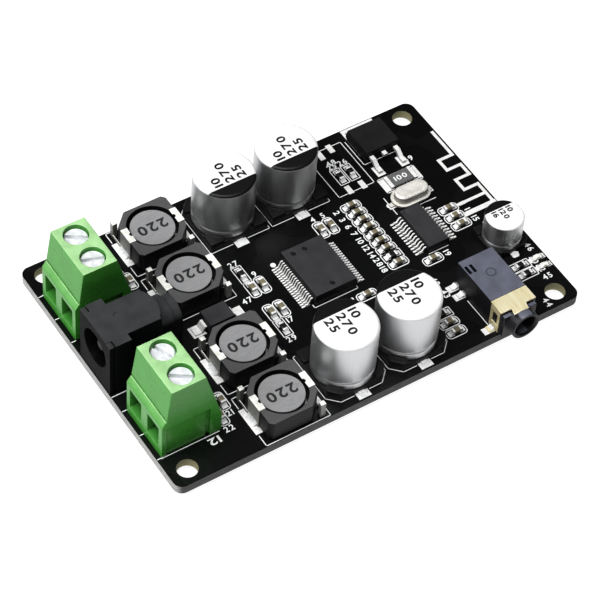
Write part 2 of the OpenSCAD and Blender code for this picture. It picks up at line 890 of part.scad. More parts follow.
// Half section of a can from its base to its top, with rolled edges and a crimp groove
function can_section(r, low, high, edge, groove_h, groove) = concat(
    [[0, low]],
    quarter(r - edge, low + edge, edge, -90, 0),
    [[r, low + groove_h - 2 * groove], [r - groove, low + groove_h - groove],
     [r - groove, low + groove_h], [r, low + groove_h + 2 * groove]],
    quarter(r - edge, high - edge, edge, 0, 90),
    [[0, high]]
);

// Base plate with two cut corners on its +Y side, corner walls round the can and grooves for the leads
module cap_base(w, t, can_r, chamfer, lead, corner_h) {
    outline = [
        [-w / 2, -w / 2], [w / 2, -w / 2], [w / 2, w / 2 - chamfer],
        [w / 2 - chamfer, w / 2], [-w / 2 + chamfer, w / 2], [-w / 2, w / 2 - chamfer]
    ];
    difference() {
        linear_extrude(t + corner_h)
            polygon(outline);
        translate([0, 0, t])
            cylinder(r = can_r + cap_corner_gap, h = corner_h + cut, $fn = round_fn);
        for (turn = [0, 90])
            rotate([0, 0, turn])
                block([w + 2 * cut, can_r * 1.1, corner_h + cut], t);
        block([lead[0], w + 2 * cut, lead[1] + cut], -cut);
    }
}

// The two flat leads under a base, side by side with the base's middle left open
module cap_leads(w, lead, inner, out) {
    length = w / 2 + out - inner;
    for (s = [-1, 1])
        translate([0, s * (inner + length / 2), 0])
            block([lead[0], length, lead[1]]);
}

module capacitor_can(i) {
    color("#c9cacc")
        at_cap(i)
            rotate_extrude($fn = round_fn)
                polygon(can_section(cap_d / 2, cap_base_t, cap_h, cap_edge_r, cap_groove_h, cap_groove_deep));
}

module capacitor_base(i) {
    color("#101113")
        at_cap(i)
            cap_base(cap_base_w, cap_base_t, cap_d / 2, cap_chamfer, cap_lead, cap_corner_h);
}

module small_capacitor_can() {
    color("#c9cacc")
        translate([small_cap_at[0], small_cap_at[1], seat])
            rotate_extrude($fn = round_fn)
                polygon(can_section(small_cap_d / 2, small_base_t, small_cap_h,
                    small_edge_r, small_groove_h, small_groove_deep));
}

module small_capacitor_base() {
    color("#101113")
        translate([small_cap_at[0], small_cap_at[1], seat])
            rotate([0, 0, 180])
                cap_base(
                    small_base_w, small_base_t, small_cap_d / 2,
                    small_chamfer, small_lead, small_corner_h
                );
}

module capacitor_leads() {
    color("#d6d7d8") {
        for (i = [0 : 3])
            at_cap(i)
                cap_leads(cap_base_w, cap_lead, cap_lead_in, cap_lead_out);
        translate([small_cap_at[0], small_cap_at[1], seat])
            cap_leads(small_base_w, small_lead, small_lead_in, small_lead_out);
    }
}

// Screw terminals

// Side view [x, z] of a terminal housing: sill, step, leaning front, flat top and sloping back
function terminal_side() = [
    [0, 0], [0, term_sill_h], [term_step, term_sill_h + term_step_h],
    [term_step + term_crease, term_sill_h + term_step_h],
    [term_step + term_crease, term_sill_h + term_step_h + 2 * term_crease],
    [term_step + term_crease / 2, term_sill_h + term_step_h + 2 * term_crease],
    [term_top_front, term_h], [term_top_back, term_h], [term_depth, term_back_h], [term_depth, 0]
];

// Front view [y, z] of a terminal housing, drafted above the sill
function terminal_front() = [
    [-term_w / 2, 0], [term_w / 2, 0], [term_w / 2, term_sill_h],
    [term_w / 2 - term_draft, term_h], [-term_w / 2 + term_draft, term_h], [-term_w / 2, term_sill_h]
];

// Hollow of one pole: wire entry, clamp pocket, screw collar and head bore
module pole_hollow() {
    translate([-pole_x, 0, 0])
        along_y([
            [-cut, entry_low], [pocket_front + cut, entry_floor],
            [pocket_front + cut, entry_high], [-cut, entry_high]
        ], entry_w);
    translate([pocket_front - pole_x, -pocket_w / 2, -cut])
        cube([pocket_back - pocket_front, pocket_w, pocket_h + cut]);
    translate([0, 0, pocket_h - cut])
        cylinder(r = screw_r + screw_gap, h = collar_t + 2 * cut, $fn = round_fn);
    translate([0, 0, head_seat_h])
        cylinder(r = head_r, h = term_h - head_seat_h + cut, $fn = round_fn);
}

// Shallow relief in a terminal's flank, with the keyway that locks it to a neighbour
module flank_relief() {
    translate([term_rib, -term_w / 2 - cut, -cut])
        cube([term_relief_end - term_rib, term_relief + cut, term_relief_h + cut]);
    translate([term_relief_end - term_key[0], -term_w / 2 - cut, -cut])
        cube([term_key[0], term_key[1] + cut, term_relief_h + cut]);
}

module terminal_housing(i) {
    color("#4fae3c")
        at_terminal(i)
            difference() {
                intersection() {
                    along_y(terminal_side(), term_w + 1);
                    along_x(terminal_front(), term_depth);
                }
                for (y = pole_ys)
                    translate([pole_x, y, 0])
                        pole_hollow();
                flank_relief();
                mirror([0, 1, 0])
                    flank_relief();
            }
}

// Contact bars over the wires, folded down behind the cages into board pins
module terminal_contacts() {
    color("#c9c3b4")
        for (i = [0 : 2 * poles - 1])
            at_pole(i)
                translate([-pole_x, 0, 0]) {
                    along_y([
                        [bar_start, bar_low], [pocket_back - bar_t, bar_low], [pocket_back - bar_t, 0],
                        [pocket_back, 0], [pocket_back, bar_low + bar_t], [bar_start, bar_low + bar_t]
                    ], bar_w);
                    translate([pocket_back - bar_t, -pin_size[1] / 2, -board_t - pin_out])
                        cube([pin_size[0], pin_size[1], board_t + pin_out + bar_low]);
                }
}

module terminal_screw(i) {
    top = head_seat_h + head_h;
    color("#dfe2e4")
        at_pole(i)
            difference() {
                rotate_extrude($fn = round_fn)
                    polygon([
                        [0, screw_tip_h], [screw_r - screw_taper[0], screw_tip_h],
                        [screw_r, screw_tip_h + screw_taper[1]],
                        [screw_r, head_seat_h], [screw_head_r, head_seat_h],
                        [screw_head_r, top - head_edge], [screw_head_r - head_edge, top], [0, top]
                    ]);
                rotate([0, 0, slot_angles[i]])
                    block([2 * head_r + 2 * cut, slot_w, slot_deep + cut], top - slot_deep);
            }
}

module clamp_cage(i) {
    inner_w = cage_w - 2 * cage_wall;
    inner_low = cage_low + cage_jaw_t;
    high = cage_plate_low + cage_plate_t;
    color("#c3c6c8")
        at_pole(i)
            difference() {
                block([cage_l, cage_w, high - cage_low], cage_low);
                block([cage_l + 2 * cut, inner_w, cage_plate_low - inner_low], inner_low);
                translate([0, 0, cage_plate_low - cut])
                    cylinder(r = screw_r + screw_gap, h = cage_plate_t + 2 * cut, $fn = round_fn);
            }
}

// Power jack

// Cross-section [y, z] of the jack's body behind its front block
function jack_section() = [
    [-jack_body_w / 2, 0], [jack_body_w / 2, 0], [jack_body_w / 2, jack_shoulder_h],
    [jack_top_w / 2, jack_h], [-jack_top_w / 2, jack_h], [-jack_body_w / 2, jack_shoulder_h]
];

// Cross-section [y, z] of the jack's round-topped tail, made smaller all round by step
function jack_tail_section(step) =
    let (
        half = jack_tail_w / 2 - step,
        top = jack_h - jack_tail_drop - step
    )
    concat(
        [[-half, 0], [half, 0]],
        quarter(half - jack_tail_round, top - jack_tail_round, jack_tail_round, 0, 90),
        quarter(jack_tail_round - half, top - jack_tail_round, jack_tail_round, 90, 180)
    );

// Outside of the power jack: flange, groove, front block, tapered body and a lower tail that ends in a step
module jack_outside() {
    translate([0, -jack_flange[1] / 2, 0])
        cube(jack_flange);
    translate([jack_flange[0], -jack_groove[1] / 2, 0])
        cube(jack_groove);
    translate([jack_flange[0] + jack_groove[0], -jack_w / 2, 0])
        cube([jack_block_end - jack_flange[0] - jack_groove[0], jack_w, jack_h]);
    intersection() {
        along_x(jack_section(), jack_top_end + 1);
        union() {
            block([2 * (jack_top_end - 1), 2 * jack_w, jack_h + 1]);
            translate([jack_top_end - jack_w / 2, 0, 0])
                cylinder(r = jack_w / 2, h = jack_h + 1, $fn = round_fn);
        }
    }
    along_x(jack_tail_section(0), jack_l - jack_tail_end_l);
    along_x(jack_tail_section(jack_tail_step), jack_l);
}

module power_jack_housing() {
    color("#3b3c3f")
        at_jack()
            difference() {
                jack_outside();
                translate([-cut, 0, jack_axis_h])
                    rotate([0, 90, 0])
                        cylinder(r = jack_bore_r, h = jack_bore_l + cut, $fn = round_fn);
                translate([jack_bore_l - cut, 0, jack_axis_h])
                    rotate([0, 90, 0])
                        cylinder(r = jack_pin_r + jack_pin_collar, h = jack_wall + 2 * cut, $fn = small_fn);
                translate([jack_tail_x, 0, 0])
                    translate([0, -jack_pocket[1] / 2, -cut])
                        cube([jack_pocket[0], jack_pocket[1], jack_pocket[2] + cut]);
                translate([jack_channel[0], -jack_channel_w / 2, -cut])
                    cube([jack_channel[1] - jack_channel[0], jack_channel_w, jack_channel_top + cut]);
                translate([jack_switch_x, jack_switch_y, -cut])
                    block([jack_switch_l, jack_switch_t, jack_switch_h + cut]);
                translate([jack_block_end + jack_mark[0], jack_mark[1], jack_h - jack_mark_deep])
                    cylinder(r = jack_mark_r, h = jack_mark_deep + cut, $fn = small_fn);
            }
}

// Centre pin with a flat tail that runs down to the board
module power_jack_pin() {
    color("#cfd0cf")
        at_jack() {
            translate([jack_pin_start, 0, jack_axis_h])
                rotate([0, 90, 0])
                    rotate_extrude($fn = small_fn)
                        polygon(concat(
                            [[0, 0]],
                            quarter(jack_pin_r - jack_pin_round, jack_pin_round, jack_pin_round, -90, 0),
                            [[jack_pin_r, jack_bore_l - jack_pin_start],
                             [jack_pin_r + jack_pin_collar, jack_bore_l - jack_pin_start],
                             [jack_pin_r + jack_pin_collar, jack_tail_x - jack_pin_start],
                             [0, jack_tail_x - jack_pin_start]]
                        ));
            translate([jack_tail_x, -jack_tab_w / 2, 0])
                cube([jack_tab_t, jack_tab_w, jack_tab_h]);
            translate([jack_tail_x, -jack_leg_w / 2, -board_t - pin_out])
                cube([jack_tab_t, jack_leg_w, board_t + pin_out + 1]);
        }
}

// Sleeve spring: a bowed leaf under the plug with a leg through the board
module power_jack_spring() {
    back = jack_channel[1];
    bow_h = jack_axis_h - jack_bore_r - leaf_gap;
    color("#cbb27a")
        at_jack() {
            along_y([
                [back, 0], [back, leaf_foot_h], [back - jack_tab_t, leaf_foot_h], [back - leaf_bow, bow_h],
                [jack_channel[0] + leaf_tip, bow_h - leaf_fall],
                [jack_channel[0] + leaf_tip, bow_h - leaf_fall - jack_leaf_t],
                [back - leaf_bow, bow_h - jack_leaf_t], [back - jack_tab_t, leaf_foot_h - jack_leaf_t],
                [back - jack_tab_t, 0]
            ], jack_leaf_w);
            translate([back - jack_tab_t, -jack_leg_w / 2, -board_t - pin_out])
                cube([jack_tab_t, jack_leg_w, board_t + pin_out + 1]);
        }
}

module power_jack_switch() {
    color("#cbb27a")
        at_jack()
            translate([jack_switch_x, jack_switch_y, 0])
                block([jack_switch_l, jack_switch_t, jack_switch_h + board_t + pin_out], -board_t - pin_out);
}

// Audio jack

// Hollows of the audio jack: plug bore with a flared mouth, and the seats of its contacts
module audio_hollows(axis_h) {
    translate([0, -frame_l - nose_l - cut, axis_h])
        rotate([-90, 0, 0])
            cylinder(r = audio_bore_r, h = frame_l + nose_l + nose_bore_l + cut, $fn = round_fn);
    translate([0, -frame_l - nose_l, axis_h])
        rotate([-90, 0, 0])
            cylinder(r1 = audio_bore_r + nose_flare, r2 = audio_bore_r, h = nose_flare_l, $fn = round_fn);
    translate([-audio_w / 2 - cut, -cut, audio_h - sleeve_t])
        cube([audio_w + 2 * cut, sleeve_l + cut, sleeve_t + cut]);
    for (m = [0, 1])
        mirror([m, 0, 0])
            translate([audio_w / 2 - sleeve_t, leg_start, -cut])
                cube([sleeve_t + cut, leg_l, audio_h + 2 * cut]);
    translate([-frame_gap_w / 2, -frame_l - frame_gap_more, axis_h + audio_bore_r - cut])
        cube([frame_gap_w, frame_l + frame_gap_more, audio_h]);
    for (y = spring_ys)
        translate([-audio_w / 2 - cut, y - spring_w / 2 - spring_gap, -cut])
            cube([sleeve_t + cut, spring_w + 2 * spring_gap, spring_h + spring_gap + cut]);
    for (x = top_slot_xs)
        translate([x, top_slot_y, audio_h - top_slot[2]])
            block([top_slot[0], top_slot[1], top_slot[2] + cut]);
}

module audio_jack_housing() {
    axis_h = audio_h / 2;
    color("#5d6070")
        at_audio()
            difference() {
                union() {
                    translate([-audio_w / 2, 0, 0])
                        cube([audio_w, audio_l, audio_h]);
                    translate([-audio_w / 2 + sleeve_t, -frame_l, 0])
                        cube([audio_w - 2 * sleeve_t, frame_l, frame_h]);
                    translate([0, -frame_l - nose_l, axis_h])
                        rotate([-90, 0, 0])
                            cylinder(r = nose_r, h = nose_l + frame_l, $fn = round_fn);
                }
                audio_hollows(axis_h);
            }
}

// Sleeve contact: a plate over the front with two legs, one foot and a tongue towards the plug
module audio_jack_sleeve_contact() {
    tip = audio_h / 2 + audio_bore_r + cut / 2;
    low = audio_h - sleeve_t;
    color("#d8c79a")
        at_audio() {
            translate([-audio_w / 2, 0, low])
                cube([audio_w, sleeve_l, sleeve_t]);
            translate([-tongue_w / 2, 0, 0])
                along_x([
                    [0, low], [0, audio_h], [-tongue_out, tip + sleeve_t],
                    [-tongue_out - tongue_lip, tip + sleeve_t],
                    [-tongue_out - tongue_lip, tip], [-tongue_out, tip]
                ], tongue_w);
            difference() {
                for (x = [-audio_w / 2, audio_w / 2 - sleeve_t])
                    translate([x, leg_start, 0])
                        cube([sleeve_t, leg_l, audio_h]);
                translate([0, leg_start + leg_l / 2, 0])
                    block([audio_w + 2 * cut, leg_window[0], leg_window[1]], audio_h / 2 - leg_window[1] / 2);
            }
            translate([-audio_w / 2 - leg_foot, leg_start + leg_window[0] / 2, 0])
                cube([leg_foot, leg_window[0], sleeve_t]);
        }
}

module audio_jack_springs() {
    side = -audio_w / 2;
    color("#d8c79a")
        at_audio()
            for (y = spring_ys)
                translate([0, y, 0])
                    along_y([
                        [side - spring_foot, 0], [side + sleeve_t, 0], [side + sleeve_t, spring_h],
                        [side, spring_h], [side, sleeve_t], [side - spring_foot, sleeve_t]
                    ], spring_w);
}

// Regulator

// Heat tab under the body, reaching out behind it
module reg_tab() {
    translate([-reg_tab_w / 2, reg_tab_start, 0])
        cube([reg_tab_w, reg_l - reg_tab_start + reg_tab_out, reg_tab_t]);
}

module regulator_body() {
    color("#37383b")
        translate([reg_x, reg_front, seat])
            difference() {
                translate([0, reg_l / 2, 0])
                    moulded_body(reg_w, reg_l, reg_h, 0, reg_lead_z, reg_tab_t, reg_draft);
                reg_tab();
            }
}

module regulator_leads() {
    color("#c9cbcd")
        translate([reg_x, reg_front, seat]) {
            reg_tab();
            for (x = [-1, 1])
                translate([x * reg_lead_dx, 0, 0])
                    rotate([0, 0, -90])
                        along_y(gull(0, reg_lead_l, reg_lead_z, reg_tab_t, reg_foot), reg_lead_w);
            translate([-reg_lead_w / 2, -reg_stub_l, reg_lead_z - reg_tab_t / 2])
                cube([reg_lead_w, reg_stub_l, reg_tab_t]);
        }
}

// Crystal

module crystal_can() {
    r = crystal_can_w / 2;
    low = crystal_brim_low + crystal_brim_t;
    high = seat + crystal_h;
    arc = quarter(r - crystal_round, high - crystal_round, crystal_round, 0, 90);
    straight = crystal_can_l - crystal_can_w;
    color("#c6c8ca")
        translate(crystal_at) {
            translate([0, 0, crystal_brim_low])
                stadium(crystal_can_l + 2 * crystal_brim, crystal_can_w + 2 * crystal_brim, crystal_brim_t);
            for (x = [-1, 1])
                translate([x * straight / 2, 0, 0])
                    rotate_extrude($fn = round_fn)
                        polygon(concat([[0, low], [r, low]], arc, [[0, high]]));
            translate([-straight / 2, 0, 0])
                along_x(concat(
                    [[-r, low], [r, low]], arc,
                    [for (k = [len(arc) - 1 : -1 : 0]) [-arc[k][0], arc[k][1]]]
                ), straight);
        }
}

// Header plate with two flat leads folded out at its ends
module crystal_header() {
    half = crystal_can_l / 2 + crystal_brim;
    plate_w = crystal_can_w + 2 * crystal_brim - crystal_step;
    color("#b9bbbd")
        translate([crystal_at[0], crystal_at[1], seat]) {
            translate([0, 0, crystal_lead_t])
                stadium(2 * half - crystal_step, plate_w, crystal_header_t);
            for (x = [-1, 1])
                translate([x * (half + crystal_lead_out) / 2 + x * crystal_lead_in / 2, 0, 0])
                    block([half + crystal_lead_out - crystal_lead_in, crystal_lead_w, crystal_lead_t]);
        }
}

// Diode

module diode_body() {
    color("#35363a")
        translate([diode_at[0], diode_at[1], seat])
            moulded_body(diode_l, diode_w, diode_h, 0, diode_h / 2, diode_lead_t);
}

module diode_leads() {
    lead = gull(diode_l / 2, diode_reach, diode_h / 2, diode_lead_t, diode_foot);
    color("#cfd0d2")
        translate([diode_at[0], diode_at[1], seat])
            for (turn = [0, 180])
                rotate([0, 0, turn])
                    along_y(lead, diode_lead_w);
}

// Chip parts

// Puts children on the seat at each place of a list of chip parts
module at_chips(list) {
    for (c = list)
        translate([c[0], c[1], seat])
            rotate([0, 0, c[2]])
                children();
}

// Both metal ends of a chip part of length l, width w and height h
module ends(l, w, h, end) {
    for (x = [-1, 1])
        translate([x * (l - end) / 2, 0, 0])
            block([end, w + 2 * end_rim, h + end_rim]);
}

module chip_body(h) {
    block([chip_l - 2 * chip_end, chip_w, h - end_rim], end_rim);
}

module power_resistor() {
    color("#1d1e22")
        at_chips([big_res_at])
            block([big_res[0] - 2 * big_res_end, big_res[1], big_res[2] - end_rim], end_rim);
}

module chip_capacitors() {
    color("#b79a72")
        at_chips(cap_chips)
            chip_body(chip_cap_h);
}

module chip_resistors() {
    color("#1c1d20")
        at_chips(res_chips)
            chip_body(chip_res_h);
}

module chip_end_caps() {
    color("#d5d6d7") {
        at_chips(cap_chips)
            ends(chip_l, chip_w, chip_cap_h, chip_end);
        at_chips(res_chips)
            ends(chip_l, chip_w, chip_res_h, chip_end);
        at_chips(light_chips)
            ends(chip_l, chip_w, light_base_h, chip_end);
        at_chips([big_res_at])
            ends(big_res[0], big_res[1], big_res[2], big_res_end);
    }
}

module indicator_lights() {
    lens = chip_l - 2 * chip_end - 2 * lens_inset;
    color("#f2f1e6")
        at_chips(light_chips) {
            chip_body(light_base_h);
            block([lens, chip_w - lens_inset, light_h - end_rim], end_rim);
        }
}

circuit_board();
solder_pads();
antenna_trace();
solder_joints();
amplifier_chip_body();
amplifier_chip_leads();
radio_chip_body();
radio_chip_leads();
inductor_shield(0);  // inductor_1_shield
inductor_shield(1);  // inductor_2_shield
inductor_shield(2);  // inductor_3_shield
inductor_shield(3);  // inductor_4_shield
inductor_core(0);  // inductor_1_core
inductor_core(1);  // inductor_2_core
inductor_core(2);  // inductor_3_core
inductor_core(3);  // inductor_4_core
inductor_coils();
inductor_clips();
capacitor_can(0);  // capacitor_1_can
capacitor_can(1);  // capacitor_2_can
capacitor_can(2);  // capacitor_3_can
capacitor_can(3);  // capacitor_4_can
capacitor_base(0);  // capacitor_1_base
capacitor_base(1);  // capacitor_2_base
capacitor_base(2);  // capacitor_3_base
capacitor_base(3);  // capacitor_4_base
small_capacitor_can();
small_capacitor_base();
capacitor_leads();
terminal_housing(0);  // terminal_1_housing
terminal_housing(1);  // terminal_2_housing
terminal_contacts();
terminal_screw(0);  // terminal_screw_1
terminal_screw(1);  // terminal_screw_2
terminal_screw(2);  // terminal_screw_3
terminal_screw(3);  // terminal_screw_4
clamp_cage(0);  // clamp_cage_1
clamp_cage(1);  // clamp_cage_2
clamp_cage(2);  // clamp_cage_3
clamp_cage(3);  // clamp_cage_4
power_jack_housing();
power_jack_pin();
power_jack_spring();
power_jack_switch();
audio_jack_housing();
audio_jack_sleeve_contact();
audio_jack_springs();
regulator_body();
regulator_leads();
crystal_can();
crystal_header();
diode_body();
diode_leads();
power_resistor();
chip_capacitors();
chip_resistors();
chip_end_caps();
indicator_lights();
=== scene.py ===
"""Looks of an audio amplifier board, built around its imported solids.

The solids give every place and size. This script adds the finish of each surface, the board's printed
lines and numbers, the solder at each lead, and rounded or turned copies of the mouldings and cans.
"""

from __future__ import annotations

import json
import logging
import math
from collections.abc import Iterable, Sequence
from dataclasses import dataclass, replace
from enum import Enum
from functools import cache

import bmesh
import bpy
from mathutils import Matrix, Quaternion, Vector

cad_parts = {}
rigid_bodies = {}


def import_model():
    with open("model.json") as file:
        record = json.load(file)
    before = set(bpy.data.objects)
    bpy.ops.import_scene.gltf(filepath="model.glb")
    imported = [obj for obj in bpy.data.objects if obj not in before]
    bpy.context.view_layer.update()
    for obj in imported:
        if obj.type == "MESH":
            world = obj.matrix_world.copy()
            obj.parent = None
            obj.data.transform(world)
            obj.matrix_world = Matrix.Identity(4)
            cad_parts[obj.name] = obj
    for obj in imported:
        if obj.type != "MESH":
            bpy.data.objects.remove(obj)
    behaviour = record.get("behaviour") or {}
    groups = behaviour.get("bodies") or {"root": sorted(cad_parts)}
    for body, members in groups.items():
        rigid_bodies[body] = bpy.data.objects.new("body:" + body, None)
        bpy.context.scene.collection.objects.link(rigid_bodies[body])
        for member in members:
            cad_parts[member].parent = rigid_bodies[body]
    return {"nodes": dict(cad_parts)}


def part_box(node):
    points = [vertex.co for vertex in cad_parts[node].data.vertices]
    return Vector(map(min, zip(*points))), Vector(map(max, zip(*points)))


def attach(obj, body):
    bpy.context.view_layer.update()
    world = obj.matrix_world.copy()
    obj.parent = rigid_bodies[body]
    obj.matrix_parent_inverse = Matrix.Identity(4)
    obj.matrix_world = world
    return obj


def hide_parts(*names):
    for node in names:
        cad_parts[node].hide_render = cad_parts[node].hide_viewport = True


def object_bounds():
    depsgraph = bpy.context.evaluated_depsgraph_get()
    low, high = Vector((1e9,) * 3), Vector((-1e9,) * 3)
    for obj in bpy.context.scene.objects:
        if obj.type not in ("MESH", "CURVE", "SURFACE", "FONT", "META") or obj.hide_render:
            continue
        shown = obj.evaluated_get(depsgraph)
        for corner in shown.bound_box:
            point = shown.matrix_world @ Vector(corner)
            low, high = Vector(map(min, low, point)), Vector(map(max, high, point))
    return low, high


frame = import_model()
CAD_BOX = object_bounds()

MM = 0.001
PRINT_H = 0.02
JOIN_M = 1e-7
FLAT_DEG = 0.5
FOURS = range(1, 5)
PAIRS = range(1, 3)
BODY = "board"
LOG = logging.getLogger("amplifier_board")
Colour = tuple[float, float, float]
Point = tuple[float, float]
Anchor = tuple[float, float, float, float]


class Wire:
    """One output of a node, which takes part in arithmetic."""

    def __init__(self, maker: NodeMaker, socket: bpy.types.NodeSocket) -> None:
        """Keep the socket and the maker of its tree."""
        self.maker = maker
        self.socket = socket

    def _math(self, operation: str, first: Value, second: Value = 0.0) -> Wire:
        """Add a Math node.

        Args:
            operation: The Math node's operation.
            first: Its first operand.
            second: Its second operand.

        Returns:
            The node's result.
        """
        return self.maker.node("ShaderNodeMath", {"operation": operation}, {0: first, 1: second})

    def __add__(self, other: Value) -> Wire:
        """Sum of this and the other."""
        return self._math("ADD", self, other)

    def __radd__(self, other: float) -> Wire:
        """Sum of the other and this."""
        return self._math("ADD", other, self)

    def __sub__(self, other: Value) -> Wire:
        """This less the other."""
        return self._math("SUBTRACT", self, other)

    def __rsub__(self, other: float) -> Wire:
        """The other less this."""
        return self._math("SUBTRACT", other, self)

    def __mul__(self, other: Value) -> Wire:
        """Product of this and the other."""
        return self._math("MULTIPLY", self, other)

    def __rmul__(self, other: float) -> Wire:
        """Product of the other and this."""
        return self._math("MULTIPLY", other, self)

    def __gt__(self, other: Value) -> Wire:
        """1 where this is more than the other, and 0 elsewhere."""
        return self._math("GREATER_THAN", self, other)

    def __lt__(self, other: Value) -> Wire:
        """1 where this is less than the other, and 0 elsewhere."""
        return self._math("LESS_THAN", self, other)

    def __abs__(self) -> Wire:
        """Size of this without its sign."""
        return self._math("ABSOLUTE", self)

    def root(self) -> Wire:
        """Square root of this."""
        return self._math("SQRT", self)

    def sine(self) -> Wire:
        """Sine of this."""
        return self._math("SINE", self)


Value = Wire | float
Setting = Wire | float | str | bool | Sequence[float] | bpy.types.Material | None


class NodeMaker:
    """Adds nodes to one tree."""

    def __init__(self, tree: bpy.types.NodeTree) -> None:
        """Keep the tree."""
        self.tree = tree

    def node(
        self,
        kind: str,
        settings: dict[str, object] | None = None,
        inputs: dict[int | str, Setting] | None = None,
        output: int | str = 0,
    ) -> Wire:
        """Add a node, set it up and join its inputs.

        Args:
            kind: The node's type.
            settings: Properties of the node, set before its sockets are used.
            inputs: Values or links of its sockets, by index or name.
            output: Which output the result stands for.

        Returns:
            That output.
        """
        made = self.tree.nodes.new(kind)
        for key, value in (settings or {}).items():
            setattr(made, key, value)
        for key, value in (inputs or {}).items():
            socket = made.inputs[key]
            if isinstance(value, Wire):
                self.tree.links.new(value.socket, socket)
            elif socket.type == "RGBA":
                socket.default_value = (*value[:3], 1.0)
            else:
                socket.default_value = value
        return Wire(self, made.outputs[output] if made.outputs else None)

    def axes(self, vector: Wire) -> list[Wire]:
        """Split a vector.

        Args:
            vector: What is split.

        Returns:
            Its three parts.
        """
        split = self.node("ShaderNodeSeparateXYZ", {}, {0: vector})
        return [Wire(self, part) for part in split.socket.node.outputs]


class Graph(NodeMaker):
    """Node tree of one material, with the places and patterns that the finishes share."""

    def __init__(self, name: str) -> None:
        """Start an empty material.

        Args:
            name: The material's name.
        """
        self.material = bpy.data.materials.new(name)
        self.material.use_nodes = True
        super().__init__(self.material.node_tree)
        self.tree.nodes.clear()
        coords = self.node("ShaderNodeTexCoord", output="Object")
        self.facing = Wire(self, coords.socket.node.outputs["Normal"])
        self.place = self.node("ShaderNodeVectorMath", {"operation": "SCALE"}, {0: coords, "Scale": 1 / MM})

    def noise(self, per_mm: float, detail: float = 2.0, stretch: Colour = (1.0, 1.0, 1.0)) -> Wire:
        """Add soft noise over the piece.

        Args:
            per_mm: Cells in a millimetre.
            detail: Octaves of finer noise.
            stretch: Factor on each axis; a small one draws the cells out along it.

        Returns:
            A value about 0.5.
        """
        at = self.node("ShaderNodeVectorMath", {"operation": "MULTIPLY"}, {0: self.place, 1: stretch})
        return self.node("ShaderNodeTexNoise", {}, {"Vector": at, "Scale": per_mm, "Detail": detail})

    def cells(self, per_mm: float, output: str) -> Wire:
        """Add scattered cells.

        Args:
            per_mm: Cells in a millimetre.
            output: Distance to the nearest cell's middle, or Color for a number of its own.

        Returns:
            That output.
        """
        at = {"Vector": self.place, "Scale": per_mm}
        return self.node("ShaderNodeTexVoronoi", {}, at, output)

    def spread(self, value: Value, low: float, high: float) -> Wire:
        """Stretch a span of values to 0 to 1.

        Args:
            value: What is stretched.
            low: Value that becomes 0.
            high: Value that becomes 1.

        Returns:
            The clamped result.
        """
        return self.node("ShaderNodeMapRange", {}, {"Value": value, "From Min": low, "From Max": high})

    def mix(self, factor: Value, low: Wire | Colour, high: Wire | Colour) -> Wire:
        """Mix two colours.

        Args:
            factor: 0 for the first colour and 1 for the second.
            low: First colour.
            high: Second colour.

        Returns:
            The mixed colour.
        """
        return self.node("ShaderNodeMix", {"data_type": "RGBA"}, {0: factor, 6: low, 7: high}, 2)

    def bump(self, height: Wire, depth: float) -> Wire:
        """Turn a height into a normal.

        Args:
            height: Pattern from 0 to 1.
            depth: Its full height in millimetres.

        Returns:
            The bumped normal.
        """
        return self.node("ShaderNodeBump", {}, {"Height": height, "Distance": depth * MM})

    def surface(self, inputs: dict[int | str, Setting]) -> bpy.types.Material:
        """Close the tree with its shader.

        Args:
            inputs: Values or links of the shader's sockets.

        Returns:
            The finished material.
        """
        shader = self.node("ShaderNodeBsdfPrincipled", {}, inputs)
        self.node("ShaderNodeOutputMaterial", {}, {"Surface": shader})
        return self.material


@dataclass(frozen=True)
class Finish:
    """What every finish has."""

    name: str
    colour: Colour

    def make(self) -> bpy.types.Material:
        """Build the material."""
        raise NotImplementedError(self.name)


@cache
def material_of(finish: Finish) -> bpy.types.Material:
    """Give a finish's material, made once.

    Args:
        finish: The finish.

    Returns:
        Its material.
    """
    return finish.make()


